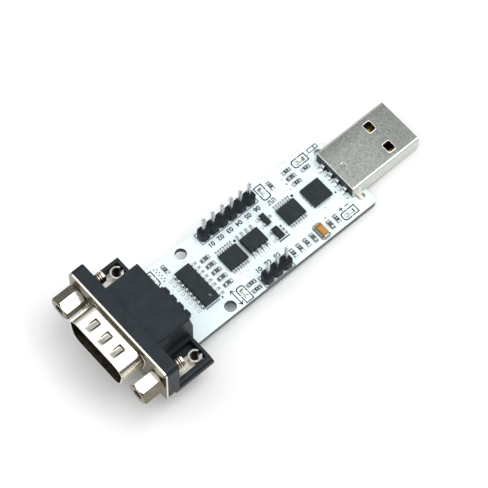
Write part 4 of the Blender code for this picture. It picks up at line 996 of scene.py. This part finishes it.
class ADAPTER_OT_d_shell(Operator):
    """Drawn steel front of the D connector: tube, three pressed dimples, round root and flange"""
    bl_idname = "adapter.d_shell"
    bl_label = "D shell"

    dimple_y = (3.75, -0.05, -3.85)
    dimple_x = (-43.95, -40.75)
    dimple_half = 0.95
    dimple_round = 0.45
    depth, wall = 0.4, 0.42
    root = 0.5
    tube_steps, root_steps = 38, 5

    def dimple(self, x, y):
        """How far a dimple presses the top in: nothing at the mouth, deepest near the flange."""
        start, stop = self.dimple_x
        deepest = 0.0
        for off in (abs(y - centre) for centre in self.dimple_y):
            past_x = x - (stop - self.dimple_round)
            past_y = off - (self.dimple_half - self.dimple_round)
            if past_x > 0 and past_y > 0:
                inside = self.dimple_round - (past_x ** 2 + past_y ** 2) ** 0.5
            else:
                inside = min(stop - x, self.dimple_half - off)
            ramp = min(1.0, max(0.0, (x - start) / (stop - start)))
            deepest = max(deepest, self.depth * ramp ** 0.7 * step_up(inside, 0.0, self.wall))
        return deepest

    def tube(self):
        """The D drawn out to the round root, open at both ends."""
        rings = []
        for i in range(self.tube_steps + 1):
            x = D_LIP + (D_ROOT - self.root - D_LIP) * i / self.tube_steps
            rings.append([at(x, y, z - (self.dimple(x, y) if abs(z - D_TOP) < 0.01 else 0))
                          for y, z in d_path(0.0)])
        for i in range(1, self.root_steps + 1):
            t = pi / 2 * i / self.root_steps
            x = D_ROOT - self.root + self.root * sin(t)
            rings.append([at(x, y, z) for y, z in d_path(-self.root * (1 - cos(t)))])
        return extrude_rings(rings, False)

    def flange_line(self):
        """The flange's outline, with round corners and no face."""
        low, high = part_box("dsub_shell")
        clear_selection()
        bpy.ops.mesh.primitive_plane_add(size=1)
        sheet = bpy.context.object
        sheet.data.transform(Matrix.Translation((at(D_ROOT, 0).x, 0, (low.z + high.z) / 2))
                             @ Matrix.Rotation(pi / 2, 4, "Y")
                             @ Matrix.Diagonal((high.z - low.z, high.y - low.y, 1, 1)))
        edit_all(sheet)
        bpy.ops.mesh.bevel(offset=1.2 * MM, segments=6, affect="VERTICES")
        bpy.ops.mesh.select_mode(type="FACE")
        bpy.ops.mesh.select_all(action="SELECT")
        bpy.ops.mesh.delete(type="ONLY_FACE")
        return done()

    def pick(self, centre, normal):
        # Painted dark reflection on the flange's front face, painted shade inside the tube, and painted shade
        # on the round root and the dimples' steep sides
        if centre.x > D_ROOT - 0.1:
            return "rolled_nickel" if normal.x < -0.9 else "bright_nickel"
        if centre.y * normal.y + (centre.z - D_MIDDLE) * normal.z < 0:
            return "inner_nickel"
        if centre.x > D_ROOT - self.root - 0.02:
            return "stretched_nickel"
        pressed = abs(centre.y) < 6 and centre.z > D_TOP - 0.6 and centre.x > D_LIP + 0.2
        if pressed and normal.z < 0.92:
            return "stretched_nickel"
        return "drawn_nickel" if pressed and centre.z < D_TOP - 0.05 else "bright_nickel"

    def execute(self, context):
        shell = join([self.tube(), self.flange_line()])
        # Join the tube's root to the flange's outline
        front = at(D_ROOT, 0).x
        edit_edges(shell, lambda c: abs(c.x - front) < 0.001 * MM)
        bpy.ops.mesh.bridge_edge_loops()
        done()
        face_out(shell)
        # The flange's face has to look away from the board
        flange = [face for face in shell.data.polygons
                  if abs(face.center.x - front) < 0.01 * MM and abs(face.normal.x) > 0.9]
        if flange and flange[0].normal.x > 0:
            edit_all(shell)
            bpy.ops.mesh.flip_normals()
            done()
        modify(shell, "SOLIDIFY", thickness=SHEET * MM, offset=-1, use_even_offset=True)
        for side in (-1, 1):
            drill = turned([(SCREW_HOLE * MM, -1 * MM), (SCREW_HOLE * MM, 1 * MM)], 32)
            drill.data.transform(Matrix.Translation(at(D_ROOT, side * SCREW_Y, D_MIDDLE))
                                 @ Matrix.Rotation(pi / 2, 4, "Y"))
            cut_away(shell, drill)
        finish_edges(shell, 0.07, 2, 50)
        shade(shell, 40)
        paint(shell, ["bright_nickel", "inner_nickel", "stretched_nickel", "drawn_nickel", "rolled_nickel"],
              self.pick)
        settle(shell, "dsub_drawn_shell", ["dsub_shell"])
        return {"FINISHED"}


class ADAPTER_OT_d_housing(Operator):
    """Black moulding of the D connector and the plate that spaces its wires"""
    bl_idname = "adapter.d_housing"
    bl_label = "D housing"

    def execute(self, context):
        edge_break = context.scene.adapter_plastic.edge_break / MM
        for node in ("dsub_housing", "pin_spacer"):
            dress(node, node + "_moulding", ["moulded_plastic"], None,
                  (edge_break, 2, 40), 35)
        return {"FINISHED"}


class ADAPTER_OT_jack_screws(Operator):
    """Hexagon jack screws with their rolled threads"""
    bl_idname = "adapter.jack_screws"
    bl_label = "Jack screws"

    # Radius over the crests, depth of the groove, and how far the plain end steps in
    pitch = 0.52
    crest, depth, end_step = 1.42, 0.26, 0.12
    start, thread_end, tip = -36.1, -33.1, -32.42
    sides, count = 28, 84

    def thread(self, y):
        """The shank behind the flange: a helical groove that runs out into a smooth end."""
        rings = []
        for i in range(self.count + 1):
            x = self.start + (self.tip - self.start) * i / self.count
            live = 1 - step_up(x, self.thread_end - 0.15, self.thread_end + 0.1)
            end = 1 - 0.16 * step_up(x, self.tip - 0.22, self.tip)
            ring = []
            for side in range(self.sides):
                turn = 2 * pi * side / self.sides
                phase = (x / self.pitch + side / self.sides) % 1.0
                groove = 1 - abs(2 * phase - 1)
                radius = (self.crest - self.depth * live * step_up(groove, 0.15, 0.85)) * end
                radius -= self.end_step * (1 - live)
                ring.append(at(x, y + radius * cos(turn), D_MIDDLE + radius * sin(turn)))
            rings.append(ring)
        return extrude_rings(rings)

    def execute(self, context):
        for node in ("jack_screw_left", "jack_screw_right"):
            y = middle_of(node).y
            screw = take_copy(node)
            edit_all(screw)
            bpy.ops.mesh.bisect(plane_co=at(self.start - 0.2, y, 0), plane_no=(1, 0, 0), use_fill=True,
                                clear_outer=True)
            done()
            finish_edges(screw, 0.1, 3, 28)
            whole = join([screw, self.thread(y)])
            shade(whole, 32)

            def pick(centre, normal):
                deep = (centre.y - y) ** 2 + (centre.z - D_MIDDLE) ** 2 < (self.crest - 0.11) ** 2
                # Painted shade in the thread's roots, and painted dark reflection on the hexagons' front
                # chamfers, their front faces and their faces toward -Y
                if self.start < centre.x < self.thread_end:
                    return "thread_brass" if deep else "bright_nickel"
                if -0.95 < normal.x < -0.3:
                    return "thread_brass"
                return "rolled_nickel" if normal.x < -0.3 or normal.y < -0.8 else "bright_nickel"
            paint(whole, ["bright_nickel", "thread_brass", "rolled_nickel"], pick)
            settle(whole, node + "_turned", [node])
        return {"FINISHED"}


class ADAPTER_OT_locks(Operator):
    """Bent brackets with their split tubes"""
    bl_idname = "adapter.locks"
    bl_label = "Board locks"

    tube = 3.0

    def execute(self, context):
        for node in ("board_lock_left", "board_lock_right"):
            middle = Vector((box_of(node)[1].x - self.tube / 2, middle_of(node).y))

            def pick(centre, normal):
                across = centre.xy - middle
                if across.length > self.tube / 2 + 0.05:
                    return "bright_nickel"
                # Faces inside the split tube take painted shade
                if across.dot(normal.xy) < -0.2:
                    return "inner_nickel"
                return "drawn_nickel" if normal.z > 0.7 else "bright_nickel"
            dress(node, node + "_strip",
                  ["bright_nickel", "inner_nickel", "drawn_nickel"], pick, (0.07, 2, 40), 40)
        return {"FINISHED"}


class ADAPTER_OT_d_contacts(Operator):
    """Nine gold-plated contacts of the D connector"""
    bl_idname = "adapter.d_contacts"
    bl_label = "D contacts"

    tin_top = 0.5

    def execute(self, context):
        def pick(centre, normal):
            return "tinned_metal" if centre.z < self.tin_top else "gold_plate"
        for node in D_PINS:
            dress(node, node + "_plated", ["gold_plate", "tinned_metal"], pick,
                  smooth=45)
        return {"FINISHED"}


# The USB plug

class ADAPTER_OT_usb_sleeve(Operator):
    """Folded steel sleeve of the USB plug"""
    bl_idname = "adapter.usb_sleeve"
    bl_label = "USB sleeve"

    # The two windows, the square punched mark, the underside, and a Y just outside the sleeve's flank
    window = (32.675, 34.625)
    window_y = (1.875, 4.325)
    window_round = 0.4
    mark_x, mark_half, mark_round = 23.35, 0.5, 0.12
    bottom = -1.1
    side = 6.05

    def window_corner(self, c, top):
        in_wall = top - 0.3 < c.z < top or self.bottom < c.z < self.bottom + 0.3
        at_x = min(abs(c.x - x) for x in self.window) < 0.03
        at_y = min(abs(abs(c.y) - y) for y in self.window_y) < 0.03
        return in_wall and at_x and at_y

    def rim(self, x, y, half_x, half_y, corner, top):
        """The burr that punching leaves round an opening: a closed ring just proud of the sheet."""
        rings = []
        for out, rise in ((0.13, -0.02), (0.12, 0.012), (0.05, 0.03), (-0.01, 0.015), (-0.01, -0.1),
                          (0.13, -0.02)):
            ring = []
            for turn, side_x, side_y in ((0, 1, 1), (90, -1, 1), (180, -1, -1), (270, 1, -1)):
                for i in range(5):
                    angle = radians(turn + 22.5 * i)
                    ring.append(at(x + side_x * (half_x - corner) + (corner + out) * cos(angle),
                                   y + side_y * (half_y - corner) + (corner + out) * sin(angle), top + rise))
            rings.append(ring)
        return extrude_rings(rings)

    def burrs(self, rear, top):
        """The burr along the rear edge, and those round the windows and the square punched mark."""
        # The rear burr's top takes bright nickel as a painted highlight line
        burr = unit_block((0, -0.5, 0), (1, 0.5, 1))
        burr.data.transform(Matrix.Translation(at(rear + 0.02, 0, top - 0.05))
                            @ Matrix.Diagonal((0.13 * MM, 11.6 * MM, 0.065 * MM, 1)))
        (x0, x1), (y0, y1), small = self.window, self.window_y, self.mark_half - 0.14
        rims = [self.rim((x0 + x1) / 2, side * (y0 + y1) / 2, (x1 - x0) / 2, (y1 - y0) / 2,
                         self.window_round, top) for side in (-1, 1)]
        rims.append(self.rim(self.mark_x, 0, self.mark_half, self.mark_half, self.mark_round, top))
        # A smaller ring inside the mark, whose far sides take painted shade
        rims.append(self.rim(self.mark_x, 0, small, small, self.mark_round, top - 0.07))
        return [burr] + rims

    def execute(self, context):
        sleeve = take_copy("usb_shell")
        low, high = box_of("usb_shell")
        top = high.z
        # Round the windows' corners, then every folded or cut edge
        edit_edges(sleeve, lambda c: self.window_corner((c - DATUM) / MM, top))
        bpy.ops.mesh.bevel(offset=self.window_round * MM, segments=4, affect="EDGES")
        done()
        finish_edges(sleeve, 0.08, 3, 50)
        sleeve = join([sleeve] + self.burrs(low.x, top))
        shade(sleeve, 35)

        def pick(centre, normal):
            if abs(centre.y) > self.side:
                return "drawn_nickel"
            along = centre.x - self.mark_x
            beyond = max(abs(along), abs(centre.y)) - self.mark_half
            # In the mark's recess, painted shade on its far sides
            if beyond < 0.002 and centre.z > top - 0.11:
                shaded = along > 0.3 or abs(centre.y) > 0.3 > -along
                return "inner_nickel" if shaded else "satin_nickel"
            # The burrs' tops take bright nickel as painted highlights, all but the mark's near sides
            if centre.z > top + 0.002:
                dull = beyond < 0.2 and max(along, centre.y) < self.mark_half - 0.01
                return "satin_nickel" if dull else "bright_nickel"
            # Sides and folds are painted lighter than the flat top and underside, as painted reflection
            flat = abs(normal.z) > 0.98 and (centre.z > top - 0.2 or centre.z < self.bottom + 0.05)
            return "satin_nickel" if flat else "folded_nickel"
        paint(sleeve, ["satin_nickel", "folded_nickel", "drawn_nickel", "bright_nickel", "inner_nickel"],
              pick)
        settle(sleeve, "usb_folded_sleeve", ["usb_shell"])
        return {"FINISHED"}


class ADAPTER_OT_usb_inside(Operator):
    """Moulding and contacts of the USB plug"""
    bl_idname = "adapter.usb_inside"
    bl_label = "USB moulding and contacts"

    gold_from = 21.4

    def execute(self, context):
        dress("usb_insulator", "usb_tongue_moulding", ["moulded_plastic"], None,
              (0.08, 2, 40), 35)
        for node in USB_CONTACTS:
            piece = take_copy(node)
            split(piece, at(self.gold_from, 0), (1, 0, 0))
            finish_edges(piece, 0.05, 2, 30)
            shade(piece, 35)
            paint(piece, ["gold_plate", "tinned_metal"],
                  lambda centre, normal: "tinned_metal" if centre.x < self.gold_from else "gold_plate")
            settle(piece, node + "_plated", [node])
        return {"FINISHED"}


# The headers

class ADAPTER_OT_headers(Operator):
    """Pin headers: moulded blocks and square pins"""
    bl_idname = "adapter.headers"
    bl_label = "Headers"

    block_z = (0.02, 2.56)

    def execute(self, context):
        def pick(centre, normal):
            low, high = self.block_z
            return "glass_filled_nylon" if low <= centre.z <= high else "tinned_metal"
        for node in HEADERS:
            dress(node, node + "_pins", ["glass_filled_nylon", "tinned_metal"], pick,
                  (0.07, 2, 30), 30)
        return {"FINISHED"}


# The parts on the board

class ADAPTER_OT_chips(Operator):
    """Chips with leads, and the flat chip without"""
    bl_idname = "adapter.chips"
    bl_label = "Chips"

    # The round mark of the mould's pin on the longest chip, from its middle
    spot = (0.45, -3.7)
    spot_depth, spot_round = 0.06, 0.42

    def execute(self, context):
        for node, chip in LEADED.items():
            middle, roof = middle_of(node), box_of(node)[1].z
            spot = Vector((middle.x + self.spot[0], middle.y + self.spot[1]))
            spotted = node == "line_driver_chip"

            def press(piece):
                """Sink the round mark into the chip's top."""
                deep, wide = self.spot_depth * MM, self.spot_round * MM
                drill = turned([(0.3 * MM, -deep), (wide, deep)], 24)
                drill.data.transform(Matrix.Translation(at(spot.x, spot.y, roof)))
                cut_away(piece, drill)
                return piece

            def pick(centre, normal):
                off = centre.xy - spot
                if spotted and max(abs(off.x), abs(off.y)) < self.spot_round and 1 < centre.z < roof - 0.004:
                    return "polished_epoxy"
                out = abs(centre.x - middle.x) if chip.turn else abs(centre.y - middle.y)
                return "tinned_metal" if out > chip.width / 2 + 0.01 else "sandy_chip_epoxy"
            dress(node, node + "_moulded",
                  ["sandy_chip_epoxy", "tinned_metal", "polished_epoxy"], pick, (0.035, 1, 25),
                  shape=press if spotted else None)
        middle, half = middle_of(FLAT_CHIP), FLAT_CHIP_PADS[2]

        def pick_flat(centre, normal):
            out = max(abs(centre.x - middle.x), abs(centre.y - middle.y))
            return "tinned_metal" if out > half + 0.01 and centre.z < 0.3 else "sandy_chip_epoxy"
        dress(FLAT_CHIP, FLAT_CHIP + "_moulded", ["sandy_chip_epoxy", "tinned_metal"],
              pick_flat, (0.03, 1, 40))
        return {"FINISHED"}


class ADAPTER_OT_chip_parts(Operator):
    """Chip resistors and capacitors"""
    bl_idname = "adapter.chip_parts"
    bl_label = "Resistors and capacitors"

    cap = 0.31
    bar_size, bar_rise = (0.2, 0.5), 0.006

    def execute(self, context):
        for node in RESISTORS + CAPACITORS:
            body, slot = "resistor_glaze", "resistor_chip"
            if node in CAPACITORS:
                body, slot = "capacitor_ceramic", "ceramic_chip"
            middle, along, (low, high) = middle_of(node), long_axis(node), box_of(node)

            def add_bar(piece):
                """A plain white bar across the middle of a resistor."""
                bar = unit_block((-0.5, -0.5, -1), (0.5, 0.5, 1))
                wide, long = self.bar_size[::-1] if along else self.bar_size
                bar.data.transform(stand(middle.x, middle.y, 0, (wide, long, self.bar_rise), high.z))
                return join([piece, bar])

            def pick(centre, normal):
                if centre.z > high.z + 0.004:
                    return "white_marking"
                in_cap = abs(centre[along] - middle[along]) > (high - low)[along] / 2 - self.cap
                return "fired_terminal" if in_cap else body
            dress(node, node + "_fired", [body, "fired_terminal", "white_marking"], pick,
                  (0.05, 2, 40), 30, add_bar if node in RESISTORS else None)
        return {"FINISHED"}


class ADAPTER_OT_tantalum(Operator):
    """Moulded tantalum capacitor"""
    bl_idname = "adapter.tantalum"
    bl_label = "Tantalum capacitor"

    band = (0.62, 1.02)
    lead_from, lead_top = 1.49, 0.83

    def execute(self, context):
        middle = middle_of(TANTALUM)

        def split_band(piece):
            for edge in self.band:
                split(piece, at(0, middle.y + edge), (0, 1, 0))
            return piece

        def pick(centre, normal):
            along = centre.y - middle.y
            if abs(along) > self.lead_from and centre.z < self.lead_top:
                return "drawn_nickel"
            banded = self.band[0] < along < self.band[1] and normal.z > 0.5
            return "printed_band" if banded else "ochre_epoxy"
        dress(TANTALUM, TANTALUM + "_moulded",
              ["ochre_epoxy", "drawn_nickel", "printed_band"], pick, (0.07, 2, 30), 30, split_band)
        return {"FINISHED"}


class ADAPTER_OT_lamps(Operator):
    """Chip lamps: base, terminals and clear lens"""
    bl_idname = "adapter.lamps"
    bl_label = "Lamps"

    milky = ("led_power", "led_logic")
    base_top, lens_half = 0.29, 0.56

    def execute(self, context):
        for node in LAMPS:
            middle, along = middle_of(node), long_axis(node)
            resin = "milky_lamp_resin" if node in self.milky else "cast_lamp_resin"

            def pick(centre, normal):
                if centre.z > self.base_top:
                    return resin
                past = abs(centre[along] - middle[along]) > self.lens_half
                return "fired_terminal" if past else "lamp_base"
            dress(node, node + "_cast", ["lamp_base", resin, "fired_terminal"], pick,
                  (0.04, 2, 30), 30)
        return {"FINISHED"}


class ADAPTER_PT_panel(Panel):
    """Settings and pieces of the adapter module"""
    bl_idname = "ADAPTER_PT_panel"
    bl_label = "Serial Adapter Module"
    bl_space_type = "VIEW_3D"
    bl_region_type = "UI"
    bl_category = "Adapter"

    def draw(self, context):
        layout = self.layout
        for name, group in SETTINGS.items():
            settings = getattr(context.scene, name)
            box = layout.box()
            for setting in group.__annotations__:
                box.prop(settings, setting)
        for step in STEPS:
            layout.operator(step.bl_idname)


SETTINGS = {"adapter_stage": StageSettings, "adapter_board": BoardSettings, "adapter_metal": MetalSettings,
            "adapter_plastic": PlasticSettings}
STEPS = (ADAPTER_OT_stage, ADAPTER_OT_board, ADAPTER_OT_lands, ADAPTER_OT_solder, ADAPTER_OT_legend,
         ADAPTER_OT_d_shell, ADAPTER_OT_d_housing, ADAPTER_OT_jack_screws, ADAPTER_OT_locks,
         ADAPTER_OT_d_contacts, ADAPTER_OT_usb_sleeve, ADAPTER_OT_usb_inside, ADAPTER_OT_headers,
         ADAPTER_OT_chips, ADAPTER_OT_chip_parts, ADAPTER_OT_tantalum, ADAPTER_OT_lamps)


def register():
    for group in SETTINGS.values():
        bpy.utils.register_class(group)
    for name, group in SETTINGS.items():
        setattr(bpy.types.Scene, name, PointerProperty(type=group))
    for step in STEPS:
        bpy.utils.register_class(step)
    bpy.utils.register_class(ADAPTER_PT_panel)


def unregister():
    bpy.utils.unregister_class(ADAPTER_PT_panel)
    for step in reversed(STEPS):
        bpy.utils.unregister_class(step)
    for name in SETTINGS:
        delattr(bpy.types.Scene, name)
    for group in SETTINGS.values():
        bpy.utils.unregister_class(group)


def main():
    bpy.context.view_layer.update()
    register()
    for step in STEPS:
        group, name = step.bl_idname.split(".")
        getattr(getattr(bpy.ops, group), name)()


if __name__ == "__main__":
    main()
